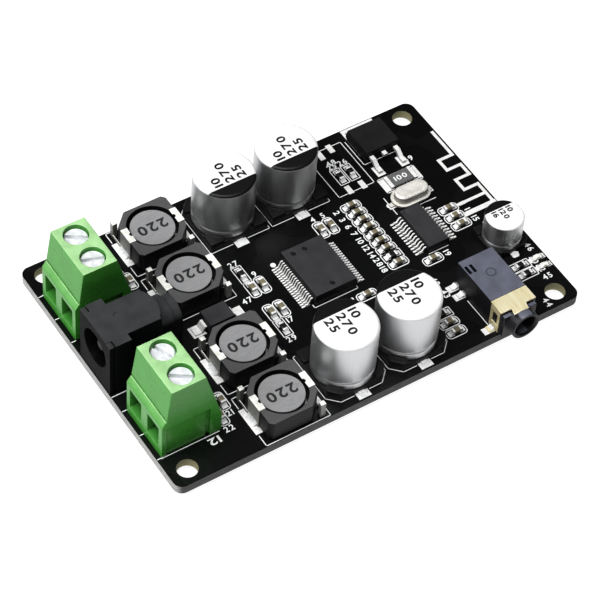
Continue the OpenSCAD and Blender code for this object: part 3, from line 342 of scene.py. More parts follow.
@dataclass(frozen=True)
class SolderMask(Finish):
    """Black mask over copper, bare glass fibre at the edges and bare resin in the fixing holes."""

    raised: Colour
    fibre: Colour
    fibre_dark: Colour
    snapped: Colour
    resin: Colour
    hole_at: Point
    hole_reach: float = 2.2
    pour_per_mm: float = 0.16
    track_l: float = 7.3
    track_pitch: float = 0.62
    track_w: float = 0.09
    via_per_mm: float = 0.42
    via_from: float = 0.62
    via_r: float = 0.26
    via_drill: float = 0.13
    relief: float = 0.012

    def make(self) -> bpy.types.Material:
        """Build the material.

        Returns:
            The finished material.
        """
        g = Graph(self.name)
        x, y, _ = g.axes(g.place)
        up = g.axes(g.facing)[2]
        across = abs(x) - self.hole_at[0]
        along = abs(y) - self.hole_at[1]
        in_hole = across * across + along * along < self.hole_reach**2
        wall = abs(up) < 0.5
        pour = g.spread(g.noise(self.pour_per_mm, 0.0), 0.49, 0.51)
        row = {"Mortar Size": self.track_w, "Brick Width": self.track_l, "Row Height": self.track_pitch}
        row |= {"Vector": g.place, "Scale": 1.0}
        track = 0.2 * g.node("ShaderNodeTexBrick", {"offset": 0.37}, row, "Fac") * (1 - pour)
        near = g.cells(self.via_per_mm, "Distance") * (1 / self.via_per_mm)
        chosen = g.axes(g.cells(self.via_per_mm, "Color"))[0] > self.via_from
        ring = (near < self.via_r) * chosen
        drill = (near < self.via_drill) * chosen
        copper = g.spread(pour + track + ring, 0.0, 1.0)
        mask = g.mix(copper * (0.3 + g.noise(0.5)), self.colour, self.raised)
        layers = g.noise(3.0, 3.0, (0.25, 0.25, 2.5))
        routed = g.mix(g.spread(layers, 0.3, 0.7), self.fibre_dark, self.fibre)
        left_end = g.spread(g.axes(g.facing)[0], -0.5, -0.9) * (0.55 + 0.9 * (layers - 0.5))
        fibre = g.mix(left_end, routed, self.snapped)
        side = g.mix(in_hole, fibre, g.mix(layers, self.resin, self.fibre))
        rough = 0.24 + 0.12 * g.noise(2.2, 4.0) + 0.35 * wall
        skin = copper - 2.0 * drill + 0.12 * g.noise(9.0)
        return g.surface({
            "Base Color": g.mix(wall, mask, side),
            "Roughness": rough,
            "Specular IOR Level": 0.35,
            "Normal": g.bump(skin * (1 - wall) + wall * layers, self.relief),
        })


@dataclass(frozen=True)
class Metal(Finish):
    """Plated, drawn or soldered metal with fine grain and uneven brightness, its walls darkened towards its
    shade colour as painted shade.
    """

    shade: Colour
    roughness: float = 0.28
    metallic: float = 1.0
    grain: float = 6.0
    stretch: Colour = (1.0, 1.0, 1.0)
    relief: float = 0.01
    # Further darkening of the walls' shade colour: painted shade.
    tarnish: float = 0.0

    def make(self) -> bpy.types.Material:
        """Build the material.

        Returns:
            The finished material.
        """
        g = Graph(self.name)
        grain = g.noise(self.grain, 3.0, self.stretch)
        patch = g.spread(g.noise(self.grain * 0.2, 2.0, self.stretch), 0.35, 0.65)
        own_tone = g.mix(patch * (0.5 + grain), self.shade, self.colour)
        # Walls take the darkened shade colour: painted shade.
        wall = g.spread(abs(g.axes(g.facing)[2]), 0.6, 0.2)
        darker_tone = tuple(part * (1.0 - self.tarnish) for part in self.shade)
        return g.surface({
            "Base Color": g.mix(wall * (0.85 + 0.6 * (grain - 0.5)), own_tone, darker_tone),
            "Metallic": self.metallic,
            "Roughness": self.roughness + 0.3 * (grain - 0.5) + 0.08 * patch,
            "Normal": g.bump(grain, self.relief),
        })


@dataclass(frozen=True)
class Moulding(Finish):
    """Moulded plastic or epoxy with a fine eroded skin, paler on its upward faces than on its walls as
    painted light on the top and painted shade on the walls.
    """

    wall: Colour
    roughness: float = 0.45
    grain: float = 9.0
    relief: float = 0.012
    specular: float = 0.5
    # The next two fields choose the upward faces that take the pale colour: painted light on the top.
    rubbed_from: float = 0.25
    rubbed_above: float = -9.0
    # Spans in X, Y and Z of a hollow that opens towards -X; its inside is darkened by painted shade.
    cavity: tuple[Point, Point, Point] | None = None
    fade: float = 2.2

    def _depth(self, g: Graph) -> Wire:
        """Find how deep a point lies in the cavity that opens towards -X, for the painted shade inside it.

        Args:
            g: Tree of the material.

        Returns:
            0 outside it, and up to 1 in its depth.
        """
        place = g.axes(g.place)
        (mouth, back), *sides = self.cavity
        depth = g.spread(place[0], mouth, mouth + self.fade) * (place[0] < back)
        for part, (low, high) in zip(place[1:], sides):
            depth = depth * (abs(part - (low + high) / 2) < (high - low) / 2)
        return depth

    def make(self) -> bpy.types.Material:
        """Build the material.

        Returns:
            The finished material.
        """
        g = Graph(self.name)
        skin = g.noise(self.grain, 3.0)
        cloud = g.spread(g.noise(0.45), 0.3, 0.7)
        flat = g.spread(g.axes(g.facing)[2], self.rubbed_from, 0.4 + 0.6 * self.rubbed_from)
        painted_top_light = flat * (g.axes(g.place)[2] > self.rubbed_above) * (0.86 + 0.14 * cloud)
        # Upward faces take the pale colour as painted light, and the walls the dark one as painted shade.
        tint = g.mix(painted_top_light, self.wall, self.colour)
        darker_tone = g.node("ShaderNodeVectorMath", {"operation": "SCALE"}, {0: tint, "Scale": 0.8})
        mottled = g.mix(0.6 * cloud + 0.2 * (skin - 0.5) + 0.35, darker_tone, tint)
        # Near-black copy of the wall colour: painted shade, deepening from the cavity's mouth.
        painted_cavity_shade = tuple(part * 0.06 for part in self.wall)
        return g.surface({
            "Base Color": mottled if self.cavity is None else g.mix(0.9 * self._depth(g), mottled, painted_cavity_shade),
            "Roughness": self.roughness + 0.4 * self.roughness * (skin - 0.5) + 0.06 * cloud,
            "Specular IOR Level": self.specular,
            "Normal": g.bump(skin, self.relief),
        })


@dataclass(frozen=True)
class Ferrite(Finish):
    """Pressed ferrite with pores and pale crystals, its tops paler than its walls, partly from grinding and
    partly as painted light on the top and painted shade on the walls.
    """

    wall: Colour
    crystal: Colour
    roughness: float = 0.42
    grind: Colour = (1.0, 1.0, 1.0)

    def make(self) -> bpy.types.Material:
        """Build the material.

        Returns:
            The finished material.
        """
        g = Graph(self.name)
        grain = g.noise(5.0, 4.0, self.grind)
        fleck = g.spread(g.noise(11.0, 2.0), 0.62, 0.72)
        pit = g.spread(g.noise(7.0, 2.0), 0.3, 0.36)
        # Tops take the pale colour and walls the dark one: partly grinding, partly painted light on the top
        # and painted shade on the walls.
        ground_and_lit_top = g.spread(g.axes(g.facing)[2], 0.3, 0.9) * (0.72 + 0.28 * g.spread(grain, 0.2, 0.8))
        base = g.mix(ground_and_lit_top, self.wall, self.colour)
        return g.surface({
            "Base Color": g.mix(fleck * 0.35, base, self.crystal),
            "Roughness": self.roughness + 0.25 * (grain - 0.5),
            "Specular IOR Level": 0.2,
            "Normal": g.bump(pit + 0.4 * grain, 0.015),
        })


@dataclass(frozen=True)
class CanMetal(Finish):
    """Drawn aluminium can whose pale lacquered top carries one black segment."""

    streak: Colour
    lacquer: Colour
    lacquer_pale: Colour
    ink: Colour
    centre_y: float = 0.0
    top: float = 0.0
    chord: float = 0.0
    ink_side: int = 1
    edge: float = 0.42

    def make(self) -> bpy.types.Material:
        """Build the material.

        Returns:
            The finished material.
        """
        g = Graph(self.name)
        _, y, z = g.axes(g.place)
        lid = g.spread(z, self.top - self.edge, self.top - self.edge * 0.4)
        inked = ((y - self.centre_y) * float(self.ink_side) > self.chord) * (z > self.top - self.edge * 0.8)
        drawn = g.noise(4.0, 3.0, (1.0, 1.0, 0.05))
        smear = g.noise(0.5, 2.0)
        side = g.mix(g.spread(drawn, 0.3, 0.7), self.streak, self.colour)
        base = g.mix(lid, side, g.mix(smear, self.lacquer, self.lacquer_pale))
        return g.surface({
            "Base Color": g.mix(inked, base, self.ink),
            "Metallic": 1.0 - lid,
            "Roughness": 0.42 + 0.03 * smear,
            "Specular IOR Level": 0.35,
            "Normal": g.bump(drawn, 0.00005),
        })


@dataclass(frozen=True)
class ScrewZinc(Finish):
    """Bright zinc on a turned head, with the lathe's rings about its axis."""

    shade: Colour
    centre: Point = (0.0, 0.0)

    def make(self) -> bpy.types.Material:
        """Build the material.

        Returns:
            The finished material.
        """
        g = Graph(self.name)
        x, y, _ = g.axes(g.place)
        across = x - self.centre[0]
        along = y - self.centre[1]
        radius = (across * across + along * along).root()
        rings = (radius * 42.0 + 3.0 * g.noise(1.4)).sine()
        stain = g.spread(g.noise(1.1, 3.0), 0.4, 0.66)
        return g.surface({
            "Base Color": g.mix(stain, self.shade, self.colour),
            "Metallic": 0.2,
            "Roughness": 0.34 + 0.04 * rings + 0.1 * stain,
            "Normal": g.bump(0.5 + 0.5 * rings, 0.002),
        })


@dataclass(frozen=True)
class Ink(Finish):
    """Screen-printed ink, a little thin in places."""

    worn: Colour
    roughness: float = 0.55

    def make(self) -> bpy.types.Material:
        """Build the material.

        Returns:
            The finished material.
        """
        g = Graph(self.name)
        cover = g.noise(4.0, 3.0)
        return g.surface({
            "Base Color": g.mix(g.spread(cover, 0.22, 0.45), self.worn, self.colour),
            "Roughness": self.roughness + 0.2 * (cover - 0.5),
            "Normal": g.bump(cover, 0.006),
        })


@dataclass(frozen=True)
class Glaze(Finish):
    """Fired ceramic or glass glaze on chip parts, glossy and faintly mottled."""

    shade: Colour
    roughness: float = 0.3

    def make(self) -> bpy.types.Material:
        """Build the material.

        Returns:
            The finished material.
        """
        g = Graph(self.name)
        mottle = g.noise(3.2, 4.0)
        return g.surface({
            "Base Color": g.mix(g.spread(mottle, 0.3, 0.7), self.shade, self.colour),
            "Roughness": self.roughness + 0.2 * (mottle - 0.5),
            "Coat Weight": 0.35,
            "Coat Roughness": 0.15,
            "Normal": g.bump(mottle, 0.006),
        })


@dataclass(frozen=True)
class Winding(Finish):
    """Enamelled copper wire wound in close turns."""

    gap: Colour
    pitch: float = 0.22

    def make(self) -> bpy.types.Material:
        """Build the material.

        Returns:
            The finished material.
        """
        g = Graph(self.name)
        _, _, z = g.axes(g.place)
        turn = 0.5 + 0.5 * (z * (math.tau / self.pitch)).sine()
        tone = g.noise(2.0, 3.0)
        return g.surface({
            "Base Color": g.mix(turn * (0.6 + 0.8 * tone), self.gap, self.colour),
            "Metallic": 0.8,
            "Roughness": 0.3 + 0.1 * tone,
            "Normal": g.bump(turn, 0.08),
        })


WHITE_INK = Ink("white_ink", (0.88, 0.89, 0.89), (0.66, 0.66, 0.66))
CAN_INK = Ink("can_ink", (0.006, 0.006, 0.007), (0.012, 0.012, 0.012), roughness=0.45)
CORE_INK = Ink("core_ink", (0.02, 0.02, 0.022), (0.035, 0.035, 0.036), roughness=0.6)
# Each metal's walls are darkened towards its shade colour: painted shade.
TIN = Metal("tin", (1.0, 1.0, 0.99), (0.88, 0.88, 0.87), roughness=0.34, metallic=0.14, tarnish=0.6)
CLIP = Metal("clip_tin", (1.0, 1.0, 0.98), (0.86, 0.86, 0.8), roughness=0.34, metallic=0.14, tarnish=0.85)
TRACE = Metal("tinned_trace", (0.95, 0.95, 0.94), (0.84, 0.84, 0.83), roughness=0.4, metallic=0.15)
SOLDER = Metal(
    "solder", (1.0, 1.0, 1.0), (0.82, 0.83, 0.84),
    roughness=0.26, metallic=0.15, grain=2.4, relief=0.03, tarnish=0.3,
)
STEEL = Metal("plated_steel", (0.7, 0.71, 0.73), (0.48, 0.49, 0.51), roughness=0.36, stretch=(1.0, 1.0, 0.1))
BRASS = Metal("tinned_brass", (0.62, 0.54, 0.36), (0.42, 0.35, 0.22), roughness=0.36)
# Near-black metal for the parts deep inside the power jack: painted shade.
SHADED_PIN = Metal("shaded_pin", (0.09, 0.087, 0.081), (0.06, 0.057, 0.053), roughness=0.5)
GOLD = Metal(
    "pale_gold", (1.0, 0.95, 0.72), (0.86, 0.76, 0.46),
    roughness=0.3, metallic=0.3, grain=3.6, stretch=(1.0, 0.12, 0.4), relief=0.004, tarnish=0.35,
)
NICKEL = Metal(
    "satin_nickel", (0.93, 0.91, 0.86), (0.8, 0.78, 0.73),
    roughness=0.42, metallic=0.35, grain=5.0, relief=0.004, tarnish=0.7,
)
CAN = CanMetal(
    "can_aluminium", (0.63, 0.635, 0.645), (0.605, 0.61, 0.62),
    lacquer=(0.84, 0.84, 0.84), lacquer_pale=(0.88, 0.88, 0.88), ink=CAN_INK.colour,
)
ZINC = ScrewZinc("screw_zinc", (0.98, 0.98, 0.99), (0.78, 0.8, 0.83))
# Each moulding's first colour is its top's and its second its walls': the paler tops are painted light, the
# dark walls painted shade.
EPOXY = Moulding(
    "chip_epoxy", (0.056, 0.056, 0.061), (0.01, 0.01, 0.011),
    roughness=0.5, grain=12.0, relief=0.01, specular=0.25,
)
DARK_EPOXY = Moulding(
    "regulator_epoxy", (0.02, 0.02, 0.021), (0.008, 0.008, 0.009),
    roughness=0.5, grain=6.0, relief=0.02, specular=0.2,
)
BASE_PLASTIC = Moulding(
    "base_plastic", (0.012, 0.012, 0.013), (0.007, 0.007, 0.008),
    roughness=0.36, grain=9.0, relief=0.008, specular=0.35,
)
# The green is pale only on upward faces above 7.5 mm: painted light there, painted shade on the walls.
GREEN = Moulding(
    "terminal_green", (0.46, 0.73, 0.38), (0.07, 0.32, 0.045),
    roughness=0.26, grain=5.0, relief=0.001, specular=0.5, rubbed_from=0.53, rubbed_above=7.5,
)
JACK_BLACK = Moulding(
    "jack_plastic", (0.064, 0.065, 0.068), (0.005, 0.005, 0.006),
    roughness=0.55, grain=8.0, relief=0.015, specular=0.07, rubbed_above=9.0,
)
# The slate top is a painted reflection of the light, and its walls stay near black.
SLATE = Moulding(
    "slate_plastic", (0.165, 0.172, 0.22), (0.008, 0.008, 0.011),
    roughness=0.42, grain=7.0, relief=0.01, specular=0.4, rubbed_from=0.88,
)
RING = Moulding(
    "slate_ring", (0.07, 0.073, 0.095), (0.05, 0.05, 0.065),
    roughness=0.4, grain=7.0, relief=0.01, specular=0.4,
)
# Ferrite tops are far paler than their near-black walls: partly grinding, partly painted light and painted
# shade.
SHIELD = Ferrite("ferrite_shield", (0.125, 0.125, 0.127), (0.006, 0.006, 0.007), (0.2, 0.2, 0.2), 0.45)
CORE = Ferrite(
    "ferrite_core", (0.35, 0.35, 0.356), (0.05, 0.05, 0.052), (0.3, 0.3, 0.31),
    roughness=0.5, grind=(0.15, 1.0, 1.0),
)
COPPER = Winding("copper_winding", (0.6, 0.25, 0.1), (0.16, 0.05, 0.02))
TAN = Glaze("tan_ceramic", (0.27, 0.24, 0.165), (0.19, 0.165, 0.11))
RESISTOR = Glaze("resistor_glaze", (0.024, 0.024, 0.026), (0.012, 0.012, 0.013))
GREY_GLAZE = Glaze("power_resistor_glaze", (0.2, 0.2, 0.202), (0.14, 0.14, 0.142))
LENS = Glaze("lens_resin", (1.0, 0.99, 0.94), (0.92, 0.9, 0.82), roughness=0.2)
DIMPLE = Glaze("dimple_epoxy", (0.014, 0.014, 0.015), (0.009, 0.009, 0.01), roughness=0.35)
MASK = SolderMask(
    "solder_mask",
    (0.0028, 0.0029, 0.0033),
    raised=(0.006, 0.0062, 0.0068),
    fibre=(0.13, 0.13, 0.13),
    fibre_dark=(0.05, 0.05, 0.05),
    snapped=(0.62, 0.62, 0.61),
    resin=(0.36, 0.33, 0.13),
    hole_at=(33.1, 21.1),
)


@dataclass(frozen=True)
class Box:
    """Corners of a solid, in millimetres."""

    low: Vector
    high: Vector

    @property
    def mid(self) -> Vector:
        """Middle of the box."""
        return (self.low + self.high) / 2

    @property
    def size(self) -> Vector:
        """Length of each side."""
        return self.high - self.low

    @property
    def top(self) -> Vector:
        """Middle of the upper face."""
        return Vector((*self.mid.xy, self.high.z))

    def beside(self, anchor: Anchor) -> Point:
        """Find a point beside the box.

        Args:
            anchor: Share of the box and distance from there, along X and then along Y.

        Returns:
            The point.
        """
        share_x, off_x, share_y, off_y = anchor
        return (self.low.x + share_x * self.size.x + off_x, self.low.y + share_y * self.size.y + off_y)


def box_of(node: str) -> Box:
    """Measure a node.

    Args:
        node: Name of the node.

    Returns:
        Its box.
    """
    low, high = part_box(node)
    return Box(low / MM, high / MM)


def merged_copy(node: str) -> bmesh.types.BMesh:
    """Copy a node's mesh with its loose triangles joined.

    Args:
        node: Name of the node.

    Returns:
        The joined mesh, in metres.
    """
    bm = bmesh.new()
    bm.from_mesh(frame["nodes"][node].data)
    bmesh.ops.remove_doubles(bm, verts=bm.verts, dist=JOIN_M)
    return bm


def solids_of(node: str) -> list[Box]:
    """Measure each separate solid of a node.

    Args:
        node: Name of the node.

    Returns:
        Their boxes, from the rear to the front and from left to right.
    """
    bm = merged_copy(node)
    seen: set[bmesh.types.BMVert] = set()
    boxes = []
    for start in bm.verts:
        if start in seen:
            continue
        group, queue = [], [start]
        seen.add(start)
        while queue:
            vert = queue.pop()
            group.append(vert.co / MM)
            fresh = {edge.other_vert(vert) for edge in vert.link_edges} - seen
            seen |= fresh
            queue.extend(fresh)
        low = Vector(min(co[axis] for co in group) for axis in range(3))
        high = Vector(max(co[axis] for co in group) for axis in range(3))
        boxes.append(Box(low, high))
    bm.free()
    return sorted(boxes, key=lambda box: (round(-box.mid.y, 2), round(box.mid.x, 2)))


def add_piece(
    name: str,
    mesh: bpy.types.Mesh,
    finish: Finish,
    replaces: Iterable[str] = (),
    smooth_deg: float | None = 35.0,
) -> None:
    """Put a finished mesh in the scene as a piece of the board.

    Args:
        name: The piece's name.
        mesh: Its mesh, in metres and in place.
        finish: Its finish.
        replaces: Nodes that it stands for.
        smooth_deg: Edges that bend more than this stay sharp; None keeps the mesh's own normals.
    """
    mesh.name = name
    mesh.materials.clear()
    mesh.materials.append(material_of(finish))
    if smooth_deg is not None:
        mesh.polygons.foreach_set("use_smooth", [True] * len(mesh.polygons))
        mesh.set_sharp_from_angle(angle=math.radians(smooth_deg))
    piece = bpy.data.objects.new(name, mesh)
    bpy.context.scene.collection.objects.link(piece)
    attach(piece, BODY)
    if replaces:
        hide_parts(*replaces)
    LOG.info("piece %s: %d faces", name, len(mesh.polygons))


def dress(node: str, finish: Finish) -> None:
    """Give a node's own object a finish.

    Args:
        node: Name of the node.
        finish: Its finish.
    """
    for held in frame["nodes"][node].material_slots:
        held.material = material_of(finish)
    LOG.info("node %s: %s", node, finish.name)


def mesh_from(bm: bmesh.types.BMesh, scale: float = MM) -> bpy.types.Mesh:
    """Turn an edit mesh into a plain one with no other layers.

    Args:
        bm: The edit mesh, which is freed.
        scale: Metres in one of its units.

    Returns:
        The plain mesh, in metres.
    """
    bm.verts.index_update()
    mesh = bpy.data.meshes.new("stock")
    mesh.from_pydata(
        [vert.co * scale for vert in bm.verts], [], [[vert.index for vert in face.verts] for face in bm.faces]
    )
    bm.free()
    return mesh


def evaluated(mesh: bpy.types.Mesh, modifiers: Sequence[tuple[str, dict[str, object]]]) -> bpy.types.Mesh:
    """Run modifiers on a mesh and keep the plain result.

    Args:
        mesh: The mesh, which is removed.
        modifiers: Type and settings of each modifier.

    Returns:
        The new mesh.
    """
    stock = bpy.data.objects.new("stock", mesh)
    bpy.context.scene.collection.objects.link(stock)
    for kind, settings in modifiers:
        modifier = stock.modifiers.new(kind.title(), kind)
        for key, value in settings.items():
            if key.startswith("Socket_"):
                modifier[key] = value
            else:
                setattr(modifier, key, value)
    graph = bpy.context.evaluated_depsgraph_get()
    made = bpy.data.meshes.new_from_object(stock.evaluated_get(graph))
    bpy.data.objects.remove(stock)
    bpy.data.meshes.remove(mesh)
    return made


def rounded(node: str, width: float, segments: int = 2, angle_deg: float = 32.0) -> bpy.types.Mesh:
    """Copy a node with its sharp edges rounded.

    Args:
        node: Name of the node.
        width: Width of the rounding, in millimetres.
        segments: Facets across it.
        angle_deg: Edges that bend more than this are rounded.

    Returns:
        The rounded mesh.
    """
    bm = merged_copy(node)
    bmesh.ops.dissolve_limit(bm, angle_limit=math.radians(FLAT_DEG), verts=bm.verts, edges=bm.edges)
    settings = {
        "width": width * MM,
        "segments": segments,
        "limit_method": "ANGLE",
        "angle_limit": math.radians(angle_deg),
        "use_clamp_overlap": False,
    }
    stock = mesh_from(bm, 1.0)
    stock.polygons.foreach_set("use_smooth", [True] * len(stock.polygons))
    return evaluated(stock, [("BEVEL", settings), ("WEIGHTED_NORMAL", {"weight": 100})])


def add_rounded(name: str, node: str, width: float, finish: Finish) -> None:
    """Stand a copy with rounded edges in for a node.

    Args:
        name: Name of the copy.
        node: Name of the node.
        width: Width of the rounding, in millimetres.
        finish: The copy's finish.
    """
    add_piece(name, rounded(node, width), finish, [node], None)


def metres(**sizes: float) -> dict[str, float]:
    """Turn named sizes in millimetres into metres."""
    return {name: size * MM for name, size in sizes.items()}


class Shape(Enum):
    """What a repeat tree sets on its points."""

    BAR = "bar"
    DOT = "dot"
    OUTLINE = "outline"
    FILLET = "fillet"


@dataclass
class Mark:
    """Place, turn and size of one repeated shape, in millimetres and degrees."""

    at: Vector
    turn: float = 0.0
    size: Vector = Vector((1.0, 1.0, 1.0))


class RepeatTree(NodeMaker):
    """Geometry Nodes tree that sets one shape on every point, turned and sized by the point's own values."""

    def __init__(self, shape: Shape, sizes: dict[str, float]) -> None:
        """Build the tree.

        Args:
            shape: What is repeated.
            sizes: Named sizes of the shape, which become inputs of the tree.
        """
        super().__init__(bpy.data.node_groups.new(f"repeat_{shape.value}", "GeometryNodeTree"))
        face = self.tree.interface
        face.new_socket("Geometry", in_out="INPUT", socket_type="NodeSocketGeometry")
        self.ids = {}
        self.sizes = sizes
        for name in sizes:
            self.ids[name] = face.new_socket(name, in_out="INPUT", socket_type="NodeSocketFloat").identifier
        ink = face.new_socket("Material", in_out="INPUT", socket_type="NodeSocketMaterial")
        self.ids["Material"] = ink.identifier
        face.new_socket("Geometry", in_out="OUTPUT", socket_type="NodeSocketGeometry")
        points = self.node("NodeGroupInput", output="Geometry")
        self.given = {name: Wire(self, points.socket.node.outputs[name]) for name in self.ids}
        turn = self.node("GeometryNodeInputNamedAttribute", {"data_type": "FLOAT"}, {"Name": "turn"})
        size = self.node("GeometryNodeInputNamedAttribute", {"data_type": "FLOAT_VECTOR"}, {"Name": "size"})
        spin = self.node("ShaderNodeCombineXYZ", {}, {"Z": turn})
        stock = getattr(self, shape.value)()
        each = {"Points": points, "Instance": stock, "Rotation": spin, "Scale": size}
        placed = self.node("GeometryNodeInstanceOnPoints", {}, each)
        solid = self.node("GeometryNodeRealizeInstances", {}, {"Geometry": placed})
        inked = {"Geometry": solid, "Material": self.given["Material"]}
        self.node("NodeGroupOutput", {}, {"Geometry": self.node("GeometryNodeSetMaterial", {}, inked)})

    def _raise(self, geometry: Wire, height: Wire) -> Wire:
        """Lift a shape that is centred on z = 0 so that it stands there.

        Args:
            geometry: The shape.
            height: Its full height.

        Returns:
            The lifted shape.
        """
        up = self.node("ShaderNodeCombineXYZ", {}, {"Z": 0.5 * height})
        return self.node("GeometryNodeTransform", {}, {"Geometry": geometry, "Translation": up})

    def bar(self) -> Wire:
        """Flat bar, one unit long and wide."""
        size = self.node("ShaderNodeCombineXYZ", {}, {"X": MM, "Y": MM, "Z": self.given["Thickness"]})
        return self._raise(self.node("GeometryNodeMeshCube", {}, {"Size": size}), self.given["Thickness"])

    def dot(self) -> Wire:
        """Flat round dot."""
        sizes = {"Vertices": 24, "Radius": self.given["Radius"], "Depth": self.given["Thickness"]}
        return self._raise(self.node("GeometryNodeMeshCylinder", {}, sizes), self.given["Thickness"])

    def outline(self) -> Wire:
        """Flat closed line round a rectangle with rounded corners.

        Returns:
            The line's mesh.
        """
        sides = {"Width": self.given["Length"], "Height": self.given["Width"]}
        frame_line = self.node("GeometryNodeCurvePrimitiveQuadrilateral", {}, sides)
        corner = {"Curve": frame_line, "Radius": self.given["Corner"], "Count": 4}
        line = self.node("GeometryNodeFilletCurve", {"mode": "POLY"}, corner)
        section = {"Width": self.given["Line"], "Height": self.given["Thickness"]}
        profile = self.node("GeometryNodeCurvePrimitiveQuadrilateral", {}, section)
        swept = {"Curve": line, "Profile Curve": profile}
        return self._raise(self.node("GeometryNodeCurveToMesh", {}, swept), self.given["Thickness"])

    def fillet(self) -> Wire:
        """Solder wedge, one unit each way, that falls in a hollow curve along +X and narrows at its toe.

        Returns:
            The wedge's mesh.
        """
        block = {"Size": (MM, MM, MM), "Vertices X": 6, "Vertices Y": 4, "Vertices Z": 2}
        cube = self.node("GeometryNodeMeshCube", {}, block)
        half = (0.5 * MM, 0.0, 0.5 * MM)
        seated = self.node("GeometryNodeTransform", {}, {"Geometry": cube, "Translation": half})
        x, y, z = self.axes(self.node("GeometryNodeInputPosition"))
        left = 1.0 - x * (1.0 / MM)
        fall = left * left * (1.0 - self.given["Toe"]) + self.given["Toe"]
        narrow = 1.0 - self.given["Taper"] * (1.0 - left) * (1.0 - left)
        spot = self.node("ShaderNodeCombineXYZ", {}, {"X": x, "Y": y * narrow, "Z": z * fall})
        return self.node("GeometryNodeSetPosition", {}, {"Geometry": seated, "Position": spot})

    def grow(self, marks: Sequence[Mark], finish: Finish) -> bpy.types.Mesh:
        """Set the shape on points and keep the plain result.

        Args:
            marks: One point for each shape.
            finish: Their finish.

        Returns:
            The mesh of all the shapes.
        """
        points = bpy.data.meshes.new("points")
        points.from_pydata([mark.at * MM for mark in marks], [], [])
        turn = points.attributes.new("turn", "FLOAT", "POINT")
        turn.data.foreach_set("value", [math.radians(mark.turn) for mark in marks])
        size = points.attributes.new("size", "FLOAT_VECTOR", "POINT")
        size.data.foreach_set("vector", [part for mark in marks for part in mark.size])
        settings: dict[str, object] = {"node_group": self.tree, self.ids["Material"]: material_of(finish)}
        settings.update({self.ids[name]: value for name, value in self.sizes.items()})
        return evaluated(points, [("NODES", settings)])


@dataclass(frozen=True)
class Lettering:
    """Setting of a line of digits: height in millimetres, turn in degrees and width factor.

    The anchor is the share of the line that lies before its place.
    """

    tall: float
    turn: float = 0.0
    wide: float = 1.0
    anchor: float = 0.5


class DigitSet:
    """Ten printed digits as thin plates, taken from the built-in font."""

    def __init__(self, bold: float = 0.024, spacing: float = 0.2) -> None:
        """Make the digits.

        Args:
            bold: How far the strokes are widened, against the font's own size.
            spacing: Gap between two digits, against their height.
        """
        self.bold = bold
        self.spacing = spacing
        self.glyphs = {digit: self._glyph(digit) for digit in "0123456789"}
        heights = [vert.y for vert in self.glyphs["0"][0]]
        self.low = min(heights)
        self.tall = max(heights) - self.low

    def _glyph(self, digit: str) -> tuple[list[Vector], list[list[int]], float]:
        """Make one digit.

        Args:
            digit: The digit.

        Returns:
            Its points, faces and width at the font's own size.
        """
        line = bpy.data.curves.new("digit", "FONT")
        line.body = digit
        line.resolution_u = 3
        line.extrude = 0.5
        line.offset = self.bold
        holder = bpy.data.objects.new("digit", line)
        bpy.context.scene.collection.objects.link(holder)
        graph = bpy.context.evaluated_depsgraph_get()
        mesh = bpy.data.meshes.new_from_object(holder.evaluated_get(graph))
        bm = bmesh.new()
        bm.from_mesh(mesh)
        bmesh.ops.remove_doubles(bm, verts=bm.verts, dist=1e-5)
        bmesh.ops.recalc_face_normals(bm, faces=bm.faces)
        bm.verts.index_update()
        points = [vert.co.copy() for vert in bm.verts]
        faces = [[vert.index for vert in face.verts] for face in bm.faces]
        bm.free()
        bpy.data.objects.remove(holder)
        bpy.data.meshes.remove(mesh)
        bpy.data.curves.remove(line)
        left = min(point.x for point in points)
        wide = max(point.x for point in points) - left
        return [point - Vector((left, 0.0, 0.0)) for point in points], faces, wide

    def write(self, bm: bmesh.types.BMesh, text: str, at: Vector, style: Lettering) -> None:
        """Add a line of digits.

        Args:
            bm: Mesh that the digits go into, in millimetres.
            text: The digits.
            at: Place of the line on the surface that it is printed on.
            style: Size, turn and anchor of the line.
        """
        scale = style.tall / self.tall
        gap = self.spacing * style.tall
        length = sum(self.glyphs[digit][2] * scale * style.wide for digit in text) + gap * (len(text) - 1)
        spin = Matrix.Rotation(math.radians(style.turn), 3, "Z")
        pen = -length * style.anchor
        for digit in text:
            points, faces, width = self.glyphs[digit]
            made = []
            for point in points:
                x = pen + point.x * scale * style.wide
                y = (point.y - self.low) * scale - style.tall / 2
                z = (point.z + 0.5) * PRINT_H
                made.append(bm.verts.new(at + spin @ Vector((x, y, z))))
            for face in faces:
                bm.faces.new([made[index] for index in face])
            pen += width * scale * style.wide + gap


def arc(centre: Point, radius: float, start: float, end: float, steps: int) -> list[Point]:
    """Points of a round stretch.

    Args:
        centre: Middle of the arc.
        radius: Its radius.
        start: First angle, in degrees.
        end: Last angle.
        steps: Number of straight pieces.

    Returns:
        The points, ends included.
    """
    angles = [math.radians(start + (end - start) * step / steps) for step in range(steps + 1)]
    return [(centre[0] + radius * math.cos(angle), centre[1] + radius * math.sin(angle)) for angle in angles]


